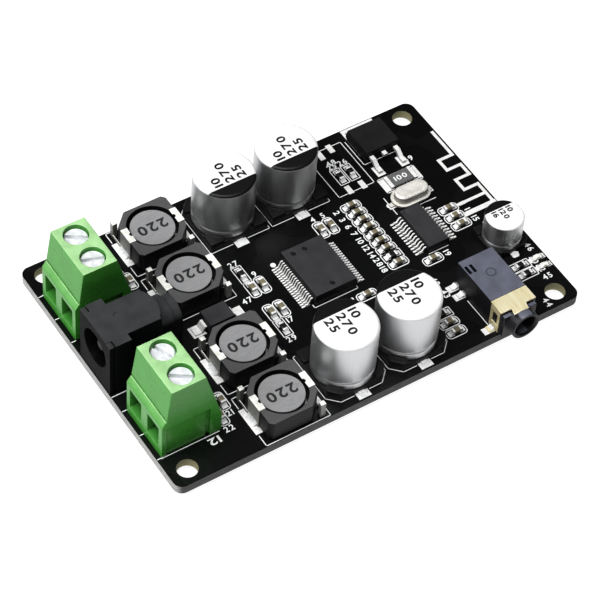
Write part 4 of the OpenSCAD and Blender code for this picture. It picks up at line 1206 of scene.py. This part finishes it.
def lathe(profile: Sequence[Point], centre: Point, segments: int = 128) -> bmesh.types.BMesh:
    """Turn a profile about a vertical axis.

    Args:
        profile: Radius and height of each ring, from the bottom's middle to the top's.
        centre: Place of the axis.
        segments: Facets in a full turn.

    Returns:
        The closed shape, in millimetres.
    """
    bm = bmesh.new()
    rings = []
    for radius, height in profile[1:-1]:
        ring = []
        for step in range(segments):
            angle = math.tau * step / segments
            x = centre[0] + radius * math.cos(angle)
            y = centre[1] + radius * math.sin(angle)
            ring.append(bm.verts.new((x, y, height)))
        rings.append(ring)
    for low, high in zip(rings, rings[1:]):
        for step in range(segments):
            after = (step + 1) % segments
            bm.faces.new((low[step], low[after], high[after], high[step]))
    for ring, height, flip in ((rings[0], profile[0][1], True), (rings[-1], profile[-1][1], False)):
        pole = bm.verts.new((*centre, height))
        for step in range(segments):
            pair = (ring[step], ring[(step + 1) % segments])
            bm.faces.new((pole, *reversed(pair)) if flip else (pole, *pair))
    return bm


class CanPrint(Enum):
    """Which way a can's print faces: its black segment's side, and the turn of its numbers."""

    REAR_READ = (1, -90.0)
    FRONT_READ = (-1, 90.0)

    @property
    def segment_side(self) -> int:
        """Sign of Y on the side of the black segment."""
        return self.value[0]

    @property
    def turn(self) -> float:
        """Turn of the numbers, in degrees."""
        return self.value[1]


@dataclass
class CapacitorBank:
    """Electrolytic capacitors: smooth cans, printed tops and rounded bases."""

    digits: DigitSet
    edge_r: float = 0.55
    foot_r: float = 0.22
    crimp_h: float = 1.5
    crimp_deep: float = 0.2
    crimp_l: float = 0.8
    crimp_steps: int = 8
    arc_steps: tuple[int, int] = (8, 10)
    smooth_deg: float = 60.0
    base_edge_r: float = 0.1
    small_base_edge_r: float = 0.08
    chord: float = 2.42
    margin: float = 0.35
    digit_tall: float = 1.5
    digit_wide: float = 1.25
    line_pitch: float = 2.1
    large_lines: tuple[str, ...] = ("10", "270", "25")
    small_lines: tuple[str, ...] = ("10", "120", "16")

    def can(self, node: str, scale: float, facing: CanPrint, lines: Sequence[str]) -> None:
        """Build one can and its print.

        Args:
            node: Name of the can's node.
            scale: Its size against a large can's.
            facing: Which way its print faces.
            lines: The numbers on its top.
        """
        box = box_of(node)
        middle = (box.mid.x, box.mid.y)
        radius, low, top = box.size.x / 2, box.low.z, box.high.z
        edge, foot = self.edge_r * scale, self.foot_r * scale
        crimp, deep, half = low + self.crimp_h * scale, self.crimp_deep * scale, self.crimp_l * scale / 2
        foot_steps, edge_steps = self.arc_steps
        profile = [(0.0, low), *arc((radius - foot, low + foot), foot, -90, 0, foot_steps)]
        for step in range(self.crimp_steps + 1):
            part = 2 * step / self.crimp_steps - 1
            hollow = deep * (0.5 + 0.5 * math.cos(math.pi * part))
            profile.append((radius - hollow, crimp + half * part))
        profile += [*arc((radius - edge, top - edge), edge, 0, 90, edge_steps), (0.0, top)]
        finish = replace(
            CAN,
            name=f"{node}_aluminium",
            centre_y=box.mid.y,
            top=top,
            chord=self.chord * scale,
            ink_side=facing.segment_side,
            edge=edge * 0.8,
        )
        mesh = mesh_from(lathe(profile, middle))
        add_piece(f"{node}_turned", mesh, finish, [node], self.smooth_deg)
        marks = bmesh.new()
        across = Matrix.Rotation(math.radians(facing.turn), 3, "Z") @ Vector((0.0, 1.0, 0.0))
        inset = facing.segment_side * (self.chord - self.margin) * scale
        start = box.top + Vector((0.0, inset, 0.0))
        style = Lettering(self.digit_tall * scale, facing.turn, self.digit_wide, 0.0)
        for index, text in enumerate(lines):
            at = start + across * (self.line_pitch * scale * (1 - index))
            self.digits.write(marks, text, at, style)
        add_piece(f"{node}_numbers", mesh_from(marks), CAN_INK)

    def build(self) -> None:
        """Build every can, base and lead."""
        for index in FOURS:
            facing = CanPrint.FRONT_READ if index < 3 else CanPrint.REAR_READ
            self.can(f"capacitor_{index}_can", 1.0, facing, self.large_lines)
            base = f"capacitor_{index}_base"
            add_rounded(f"{base}_moulding", base, self.base_edge_r, BASE_PLASTIC)
        ratio = box_of("small_capacitor_can").size.x / box_of("capacitor_1_can").size.x
        self.can("small_capacitor_can", ratio, CanPrint.REAR_READ, self.small_lines)
        small = "small_capacitor_base"
        add_rounded(f"{small}_moulding", small, self.small_base_edge_r, BASE_PLASTIC)
        dress("capacitor_leads", TIN)


@dataclass
class InductorSet:
    """Four shielded inductors: rounded ferrite, wound copper, clips and printed numbers."""

    digits: DigitSet
    value: str = "220"
    style: Lettering = Lettering(1.9, 180.0, 1.15)
    shield_edge_r: float = 0.14
    core_edge_r: float = 0.1
    clip_edge_r: float = 0.04

    def build(self) -> None:
        """Build every inductor."""
        marks = bmesh.new()
        for index in FOURS:
            shield, core = f"inductor_{index}_shield", f"inductor_{index}_core"
            add_rounded(f"{shield}_rounded", shield, self.shield_edge_r, SHIELD)
            add_rounded(f"{core}_rounded", core, self.core_edge_r, CORE)
            self.digits.write(marks, self.value, box_of(core).top, self.style)
        add_piece("inductor_numbers", mesh_from(marks), CORE_INK)
        add_rounded("inductor_clips_rounded", "inductor_clips", self.clip_edge_r, CLIP)
        dress("inductor_coils", COPPER)


@dataclass
class ScrewTerminals:
    """Two screw terminals: rounded green housings, zinc screws, cages and contact bars."""

    edge_r: float = 0.12
    entry_lip: float = 0.1
    entry_wall: float = 1.5
    entry_reach: float = 4.3
    entry_top: float = 8.0

    def build(self) -> None:
        """Build both housings and dress what they hold."""
        for index in PAIRS:
            node = f"terminal_{index}_housing"
            box = box_of(node)
            sides = (box.mid.y - self.entry_reach, box.mid.y + self.entry_reach)
            deep = (box.low.x + self.entry_lip, box.high.x - self.entry_wall)
            entry = (deep, sides, (box.low.z, self.entry_top))
            # The wire entries' insides are darkened from the mouth inwards: painted shade.
            green = replace(GREEN, name=f"terminal_{index}_green", cavity=entry)
            add_rounded(f"{node}_moulding", node, self.edge_r, green)
        for index in FOURS:
            node = f"terminal_screw_{index}"
            mid = box_of(node).mid
            dress(node, replace(ZINC, name=f"{node}_zinc", centre=(mid.x, mid.y)))
            dress(f"clamp_cage_{index}", STEEL)
        dress("terminal_contacts", BRASS)


@dataclass
class Jacks:
    """Power jack and audio jack."""

    power_edge_r: float = 0.07
    audio_edge_r: float = 0.07
    contact_edge_r: float = 0.06
    plug_r: float = 2.9
    plug_lip: float = 0.1
    plug_wall: float = 3.0
    ring_at: Point = (23.84, -16.1)
    ring_wide: float = 1.5
    ring_line: float = 0.16

    def build(self) -> None:
        """Round the housings and dress the contacts."""
        power, audio = "power_jack_housing", "audio_jack_housing"
        box, axis = box_of(power), box_of("power_jack_pin").mid
        across, upright = ((part - self.plug_r, part + self.plug_r) for part in (box.mid.y, axis.z))
        deep = (box.low.x + self.plug_lip, box.high.x - self.plug_wall)
        # The plug opening's inside is darkened from the mouth inwards: painted shade.
        black = replace(JACK_BLACK, cavity=(deep, across, upright))
        add_rounded(f"{power}_moulding", power, self.power_edge_r, black)
        # The jack's pin, spring and switch get near-black metal: painted shade.
        for part in ("pin", "spring", "switch"):
            dress(f"power_jack_{part}", SHADED_PIN)
        add_rounded(f"{audio}_moulding", audio, self.audio_edge_r, SLATE)
        wide = self.ring_wide
        sizes = metres(Length=wide, Width=wide, Corner=wide * 0.49, Line=self.ring_line, Thickness=PRINT_H)
        tree = RepeatTree(Shape.OUTLINE, sizes)
        ring = tree.grow([Mark(Vector((*self.ring_at, box_of(audio).high.z)))], RING)
        add_piece("audio_jack_mould_ring", ring, RING)
        sleeve = "audio_jack_sleeve_contact"
        add_rounded(f"{sleeve}_plate", sleeve, self.contact_edge_r, GOLD)
        dress("audio_jack_springs", TIN)


@dataclass
class Semiconductors:
    """Chips, regulator, diode and crystal."""

    edge_r: float = 0.06
    dimple_r: float = 0.42
    dimple_deep: float = 0.12
    lining: float = 0.01
    dimple_in: float = 1.7
    ejector_in: float = 1.25

    def dimples(self) -> None:
        """Line the amplifier chip's mould marks with smoother epoxy."""
        box = box_of("amplifier_chip_body")
        floor = box.high.z - self.dimple_deep
        rear, front = box.high.y - self.ejector_in, box.low.y + self.ejector_in
        spots = [(box.low.x + self.dimple_in, rear), (box.mid.x, rear), (box.mid.x, front)]
        tree = RepeatTree(Shape.DOT, metres(Radius=self.dimple_r, Thickness=self.lining))
        marks = tree.grow([Mark(Vector((*spot, floor))) for spot in spots], DIMPLE)
        add_piece("amplifier_chip_dimples", marks, DIMPLE)

    def build(self) -> None:
        """Round the moulded bodies and dress the leads."""
        self.dimples()
        bodies = {"amplifier_chip": EPOXY, "radio_chip": EPOXY, "regulator": DARK_EPOXY, "diode": EPOXY}
        for name, finish in bodies.items():
            node = f"{name}_body"
            add_rounded(f"{node}_moulding", node, self.edge_r, finish)
            dress(f"{name}_leads", TIN)
        dress("crystal_can", NICKEL)
        dress("crystal_header", NICKEL)


@dataclass
class ChipParts:
    """Chip capacitors, chip resistors, indicator lights and the power resistor with its number."""

    digits: DigitSet
    edge_r: float = 0.05
    value: str = "100"
    style: Lettering = Lettering(1.0, wide=1.3)

    def build(self) -> None:
        """Round the chip bodies and their metal ends."""
        finishes = {
            "chip_capacitors": (TAN, "ceramic_tan"),
            "chip_resistors": (RESISTOR, "resistor_black"),
            "chip_end_caps": (TIN, "tin"),
            "indicator_lights": (LENS, "lens"),
            "power_resistor": (GREY_GLAZE, "resistor_black"),
        }
        for node, (finish, slot) in finishes.items():
            add_rounded(f"{node}_rounded", node, self.edge_r, finish)
        marks = bmesh.new()
        self.digits.write(marks, self.value, box_of("power_resistor").top, self.style)
        add_piece("power_resistor_number", mesh_from(marks), WHITE_INK)


def ends_of(box: Box) -> list[tuple[Vector, float]]:
    """Find both ends of a part that lies along X or Y.

    Args:
        box: The part's box.

    Returns:
        Middle of each end face at the part's foot, and the turn of the way out.
    """
    mid = box.mid
    if box.size.x > box.size.y:
        places = [((box.high.x, mid.y), 0.0), ((box.low.x, mid.y), 180.0)]
    else:
        places = [((mid.x, box.high.y), 90.0), ((mid.x, box.low.y), -90.0)]
    return [(Vector((*spot, box.low.z)), turn) for spot, turn in places]


@dataclass
class SolderWork:
    """Solder at the ends of chips and leads, and the bare metal of the board."""

    cap_reach: float = 0.4
    chip_wet: Vector = Vector((0.42, 0.86, 0.5))
    lead_wet: Vector = Vector((0.7, 1.3, 0.3))
    clip_wet: Vector = Vector((0.75, 2.4, 0.9))
    foot_wet: Vector = Vector((1.3, 1.05, 0.6))
    foot_in: float = 0.95
    sleeve_foot: float = 2.4
    toe: float = 0.06
    taper: float = 0.35
    smooth_deg: float = 50.0

    def wedges(self) -> list[Mark]:
        """Place a wedge of solder at each joint.

        Returns:
            The wedges' marks.
        """
        deck = box_of("solder_pads").high.z
        marks = []
        for node in ("chip_capacitors", "chip_resistors", "indicator_lights"):
            for box in solids_of(node):
                for at, turn in ends_of(box):
                    spin = Matrix.Rotation(math.radians(turn), 3, "Z")
                    toe = at + spin @ Vector((self.cap_reach, 0.0, 0.0))
                    marks.append(Mark(Vector((*toe.xy, deck)), turn, self.chip_wet))
        cans = [box_of(f"{name}_can").mid for name in self.capacitors()]
        for box in solids_of("capacitor_leads"):
            near = min(cans, key=lambda mid: (mid - box.mid).xy.length)
            out = 1.0 if box.mid.y > near.y else -1.0
            edge = box.high.y if out > 0 else box.low.y
            marks.append(Mark(Vector((box.mid.x, edge, deck)), 90.0 * out, self.lead_wet))
        clips = box_of("inductor_clips")
        for index in FOURS:
            y = box_of(f"inductor_{index}_core").mid.y
            for edge, turn in ((clips.high.x, 0.0), (clips.low.x, 180.0)):
                marks.append(Mark(Vector((edge, y, deck)), turn, self.clip_wet))
        for box in solids_of("audio_jack_springs"):
            marks.append(Mark(Vector((box.low.x + self.foot_in, box.mid.y, deck)), 180.0, self.foot_wet))
        sleeve = box_of("audio_jack_sleeve_contact")
        at = (sleeve.low.x + self.foot_in, sleeve.low.y + self.sleeve_foot, deck)
        marks.append(Mark(Vector(at), 180.0, self.foot_wet))
        return marks

    @staticmethod
    def capacitors() -> list[str]:
        """Names of the electrolytic capacitors."""
        return [*(f"capacitor_{index}" for index in FOURS), "small_capacitor"]

    def build(self) -> None:
        """Add the solder and dress the board's metal."""
        tree = RepeatTree(Shape.FILLET, {"Toe": self.toe, "Taper": self.taper})
        wedges = tree.grow(self.wedges(), SOLDER)
        add_piece("solder_fillets", wedges, SOLDER, smooth_deg=self.smooth_deg)
        dress("solder_pads", TIN)
        dress("antenna_trace", TRACE)
        dress("solder_joints", SOLDER)


# Lines beside each part, as paths of anchors: see Box.beside.
INDUCTOR_FRAME: tuple[tuple[Anchor, ...], ...] = (
    ((0, -0.8, 0.5, -2.9), (0, -0.8, 0, -0.35), (1, 0.9, 0, -0.35), (1, 0.9, 0.5, -2.9)),
    ((0, -0.8, 0.5, 2.9), (0, -0.8, 1, 0.35), (1, 0.9, 1, 0.35), (1, 0.9, 0.5, 2.9)),
)
PART_LINES: dict[str, tuple[tuple[Anchor, ...], ...]] = {
    **{f"inductor_{index}_shield": INDUCTOR_FRAME for index in FOURS},
    "terminal_2_housing": (((0, 0, 0, -0.1), (1, -0.4, 0, -0.1)),),
    "terminal_1_housing": (((0, 0, 1, 0.1), (1, -0.4, 1, 0.1)),),
    "audio_jack_housing": (((0, -0.2, 1, -3.9), (0, -0.2, 1, -9.3)),),
    "amplifier_chip_body": (
        ((0, -0.15, 0, 0.5), (0, -0.15, 0, -0.1), (1, 0.15, 0, -0.1), (1, 0.15, 0, 0.5)),
    ),
    "radio_chip_body": (((0, 0.1, 0, -0.05), (1, -0.2, 0, -0.05)),),
    "crystal_can": (((0, -0.3, 0, 0.1), (0, -0.3, 1, 0)), ((0.5, 0.5, 0, 0), (1, 0.1, 0, 0))),
    "regulator_body": (((0, -0.3, 1, -0.4), (0, -0.3, 0, -0.05), (1, -0.5, 0, -0.05)),),
    "power_resistor": (
        ((0, -1.5, 0, -0.32), (1, 1.5, 0, -0.32), (1, 1.5, 1, 0.32), (0, -1.5, 1, 0.32), (0, -1.5, 0, -0.32)),
    ),
}
# Lines that stand by no part, as places on the board.
LOOSE_LINES: tuple[tuple[Point, ...], ...] = (
    ((21.4, 11.75), (14.75, 11.75), (14.75, 21.7), (21.4, 21.7), (21.4, 11.75)),
    ((28.9, -16.6), (28.9, -11.4)),
    ((27.2, -23.1), (27.2, -13.5), (27.2, -12.0)),
)
# Distance of the numbers from the chips' middles.
CHIP_NUMBERS = {"chip_capacitors": 2.45, "chip_resistors": 2.4}
# Place and turn of the other numbers.
LOOSE_NUMBERS = {
    "42": (18.1, -10.2, -90.0),
    "43": (18.1, -13.0, -90.0),
    "44": (30.8, -22.3, -90.0),
    "45": (33.9, -18.0, 0.0),
    "46": (34.9, -11.7, -90.0),
    "47": (-9.0, 1.2, 0.0),
    "48": (17.6, 18.6, 0.0),
    "49": (28.9, 13.2, 0.0),
}
TERMINAL_NUMBERS = {"34": (-27.1, 19.0), "12": (-27.1, -18.9)}
# Anchors of the round marks at the first pins.
PIN_DOTS: dict[str, Anchor] = {
    "amplifier_chip_leads": (0, 0.2, 1, 0.75),
    "radio_chip_leads": (0, 1.6, 1, 3.4),
}


@dataclass
class BoardPrint:
    """White print on the board: frames round the parts, pin marks and plain numbers."""

    digits: DigitSet
    line_w: float = 0.15
    number_tall: float = 1.1
    terminal_style: Lettering = Lettering(1.35, 180.0, 1.5)
    can_cut: float = 1.7
    can_gap: float = 1.4
    can_side: float = 0.22
    can_outer: float = 0.2
    can_inner: float = 0.25
    jack_margin: float = 0.4
    flat_shift: float = 0.25
    right_from: float = 20.0
    chip_frame: Point = (3.45, 1.68)
    chip_line: float = 0.165
    capacitor_corner: float = 0.6
    resistor_corner: float = 0.12
    dot_r: float = 0.45

    def __post_init__(self) -> None:
        """Find the board's printed face."""
        self.deck = box_of("circuit_board").high.z

    def line(self, start: Point, end: Point) -> Mark:
        """Mark of a straight printed line.

        Args:
            start: One end.
            end: The other end.

        Returns:
            The mark of its bar.
        """
        a, b = Vector((*start, self.deck)), Vector((*end, self.deck))
        way = b - a
        size = Vector((way.length + self.line_w, self.line_w, 1.0))
        return Mark((a + b) / 2, math.degrees(math.atan2(way.y, way.x)), size)

    def path(self, *points: Point) -> list[Mark]:
        """Marks of a line through several points.

        Args:
            points: The points.

        Returns:
            One mark for each straight stretch.
        """
        return [self.line(a, b) for a, b in zip(points, points[1:])]

    def can_frames(self) -> list[Mark]:
        """Frames round the large capacitors, with two corners cut and gaps for the leads.

        Returns:
            Their marks.
        """
        marks = []
        for index in FOURS:
            box = box_of(f"capacitor_{index}_base")
            inward = -1.0 if box.mid.y > 0 else 1.0
            outer = box.mid.y - inward * (box.size.y / 2 + self.can_outer)
            inner = box.mid.y + inward * (box.size.y / 2 + self.can_inner)
            for side in (-1.0, 1.0):
                edge = box.mid.x + side * (box.size.x / 2 + self.can_side)
                marks += self.path(
                    (box.mid.x + side * self.can_gap, outer),
                    (edge - side * self.can_cut, outer),
                    (edge, outer + inward * self.can_cut),
                    (edge, inner),
                    (box.mid.x + side * self.can_gap, inner),
                )
        return marks

    def part_lines(self) -> list[Mark]:
        """Lines at the terminals, the jacks and the other large parts.

        Returns:
            Their marks.
        """
        marks = []
        left = box_of("circuit_board").low.x + self.line_w
        for index in PAIRS:
            box = box_of(f"terminal_{index}_housing")
            marks += [self.line((left, y), (box.low.x, y)) for y in (box.low.y, box.mid.y, box.high.y)]
        jack = box_of("power_jack_housing")
        front = jack.low.y - self.jack_margin
        marks.append(self.line((left, front), (jack.high.x, front)))
        for node, paths in PART_LINES.items():
            box = box_of(node)
            for anchors in paths:
                marks += self.path(*(box.beside(anchor) for anchor in anchors))
        for points in LOOSE_LINES:
            marks += self.path(*points)
        return marks

    def numbers(self) -> bpy.types.Mesh:
        """Plain numbers beside the parts.

        Returns:
            The mesh of all the digits.
        """
        bm = bmesh.new()
        serial = 1
        for node, beyond in CHIP_NUMBERS.items():
            for box in solids_of(node):
                flat = box.size.x > box.size.y
                if flat:
                    side = 1.0 if box.mid.x >= self.right_from else -1.0
                    off = (side * (beyond + self.flat_shift), 0.0)
                else:
                    off = (0.0, beyond if box.mid.y > 0 else -beyond)
                at = Vector((box.mid.x + off[0], box.mid.y + off[1], self.deck))
                self.digits.write(bm, str(serial), at, Lettering(self.number_tall, -90.0 if flat else 0.0))
                serial += 1
        for text, (x, y, turn) in LOOSE_NUMBERS.items():
            self.digits.write(bm, text, Vector((x, y, self.deck)), Lettering(self.number_tall, turn))
        for text, spot in TERMINAL_NUMBERS.items():
            self.digits.write(bm, text, Vector((*spot, self.deck)), self.terminal_style)
        return mesh_from(bm)

    def outlines(self, node: str, corner: float) -> bpy.types.Mesh:
        """Frames round chip parts.

        Args:
            node: Node of the chip bodies.
            corner: Radius of the frames' corners.

        Returns:
            Their mesh.
        """
        length, width = self.chip_frame
        sizes = metres(Length=length, Width=width, Corner=corner, Line=self.chip_line, Thickness=PRINT_H)
        tree = RepeatTree(Shape.OUTLINE, sizes)
        marks = []
        for box in solids_of(node):
            turn = 0.0 if box.size.x > box.size.y else 90.0
            marks.append(Mark(Vector((*box.mid.xy, self.deck)), turn))
        return tree.grow(marks, WHITE_INK)

    def dots(self) -> bpy.types.Mesh:
        """Round marks at the first pins of the chips.

        Returns:
            Their mesh.
        """
        tree = RepeatTree(Shape.DOT, metres(Radius=self.dot_r, Thickness=PRINT_H))
        spots = [box_of(node).beside(anchor) for node, anchor in PIN_DOTS.items()]
        return tree.grow([Mark(Vector((*spot, self.deck))) for spot in spots], WHITE_INK)

    def build(self) -> None:
        """Print the board."""
        bars = RepeatTree(Shape.BAR, metres(Thickness=PRINT_H))
        meshes = {
            "printed_lines": bars.grow(self.can_frames() + self.part_lines(), WHITE_INK),
            "printed_numbers": self.numbers(),
            "printed_capacitor_frames": self.outlines("chip_capacitors", self.capacitor_corner),
            "printed_resistor_frames": self.outlines("chip_resistors", self.resistor_corner),
            "printed_dots": self.dots(),
        }
        for name, mesh in meshes.items():
            add_piece(name, mesh, WHITE_INK)
        dress("circuit_board", MASK)


@dataclass(frozen=True)
class Panel:
    """Name, place, side and power of a soft light, in metres and watts."""

    name: str
    at: Vector
    side: float
    power: float


@dataclass
class Studio:
    """Camera, pale floor and soft light."""

    camera_at: Vector = Vector((-152.45, -207.35, 309.47))
    look_along: Vector = Vector((0.37710, 0.51262, -0.77137))
    roll_deg: float = 4.77
    lens: float = 156.63
    sensor: float = 36.0
    nearest: float = 0.01
    floor_side: float = 2.4
    floor_colour: Colour = (0.22, 0.22, 0.22)
    floor_pale: Colour = (0.25, 0.25, 0.25)
    floor_glow: float = 0.94
    world_glow: float = 0.07
    gamma: float = 0.85
    panels: tuple[Panel, ...] = (
        Panel("overhead", Vector((-0.14, -0.02, 0.7)), 0.5, 5.0),
        Panel("left", Vector((-0.6, 0.05, 0.5)), 0.4, 3.6),
    )

    def camera(self) -> None:
        """Place the camera as in the photograph."""
        data = bpy.data.cameras.new("camera")
        data.lens = self.lens
        data.sensor_width = self.sensor
        data.clip_start = self.nearest
        camera = bpy.data.objects.new("camera", data)
        level = self.look_along.to_track_quat("-Z", "Y")
        camera.rotation_mode = "QUATERNION"
        camera.rotation_quaternion = level @ Quaternion((0.0, 0.0, 1.0), math.radians(self.roll_deg))
        camera.location = self.camera_at * MM
        bpy.context.scene.collection.objects.link(camera)
        bpy.context.scene.camera = camera

    def floor(self) -> None:
        """Lay the pale floor under the lowest pin."""
        g = Graph("floor")
        white = g.mix(g.noise(0.02), self.floor_colour, self.floor_pale)
        glow = {"Emission Color": (1.0, 1.0, 1.0), "Emission Strength": self.floor_glow}
        paint = g.surface({"Base Color": white, "Roughness": 0.8, "Specular IOR Level": 0.2, **glow})
        bm = bmesh.new()
        bmesh.ops.create_grid(bm, x_segments=1, y_segments=1, size=self.floor_side / 2)
        bmesh.ops.translate(bm, verts=bm.verts, vec=(0.0, 0.0, CAD_BOX[0].z))
        mesh = mesh_from(bm, 1.0)
        mesh.materials.append(paint)
        floor = bpy.data.objects.new("floor", mesh)
        bpy.context.scene.collection.objects.link(floor)

    def hang(self, panel: Panel) -> None:
        """Hang a soft light that faces the board.

        Args:
            panel: The light.
        """
        data = bpy.data.lights.new(panel.name, "AREA")
        data.shape = "SQUARE"
        data.size = panel.side
        data.energy = panel.power
        light = bpy.data.objects.new(panel.name, data)
        light.location = panel.at
        light.rotation_mode = "QUATERNION"
        light.rotation_quaternion = (-panel.at).to_track_quat("-Z", "Y")
        bpy.context.scene.collection.objects.link(light)

    def lights(self) -> None:
        """Set the studio's light."""
        world = bpy.data.worlds.new("studio")
        world.use_nodes = True
        back = world.node_tree.nodes["Background"]
        back.inputs["Color"].default_value = (1.0, 1.0, 1.0, 1.0)
        back.inputs["Strength"].default_value = self.world_glow
        bpy.context.scene.world = world
        bpy.context.scene.view_settings.view_transform = "Standard"
        bpy.context.scene.view_settings.gamma = self.gamma
        for panel in self.panels:
            self.hang(panel)


def main() -> None:
    """Build the scene."""
    logging.basicConfig(level=logging.INFO, format="%(message)s")
    studio = Studio()
    studio.camera()
    digits = DigitSet()
    assemblies = [
        CapacitorBank(digits),
        InductorSet(digits),
        ScrewTerminals(),
        Jacks(),
        Semiconductors(),
        ChipParts(digits),
        SolderWork(),
        BoardPrint(digits),
    ]
    for assembly in assemblies:
        assembly.build()
    studio.floor()
    studio.lights()


if __name__ == "__main__":
    main()
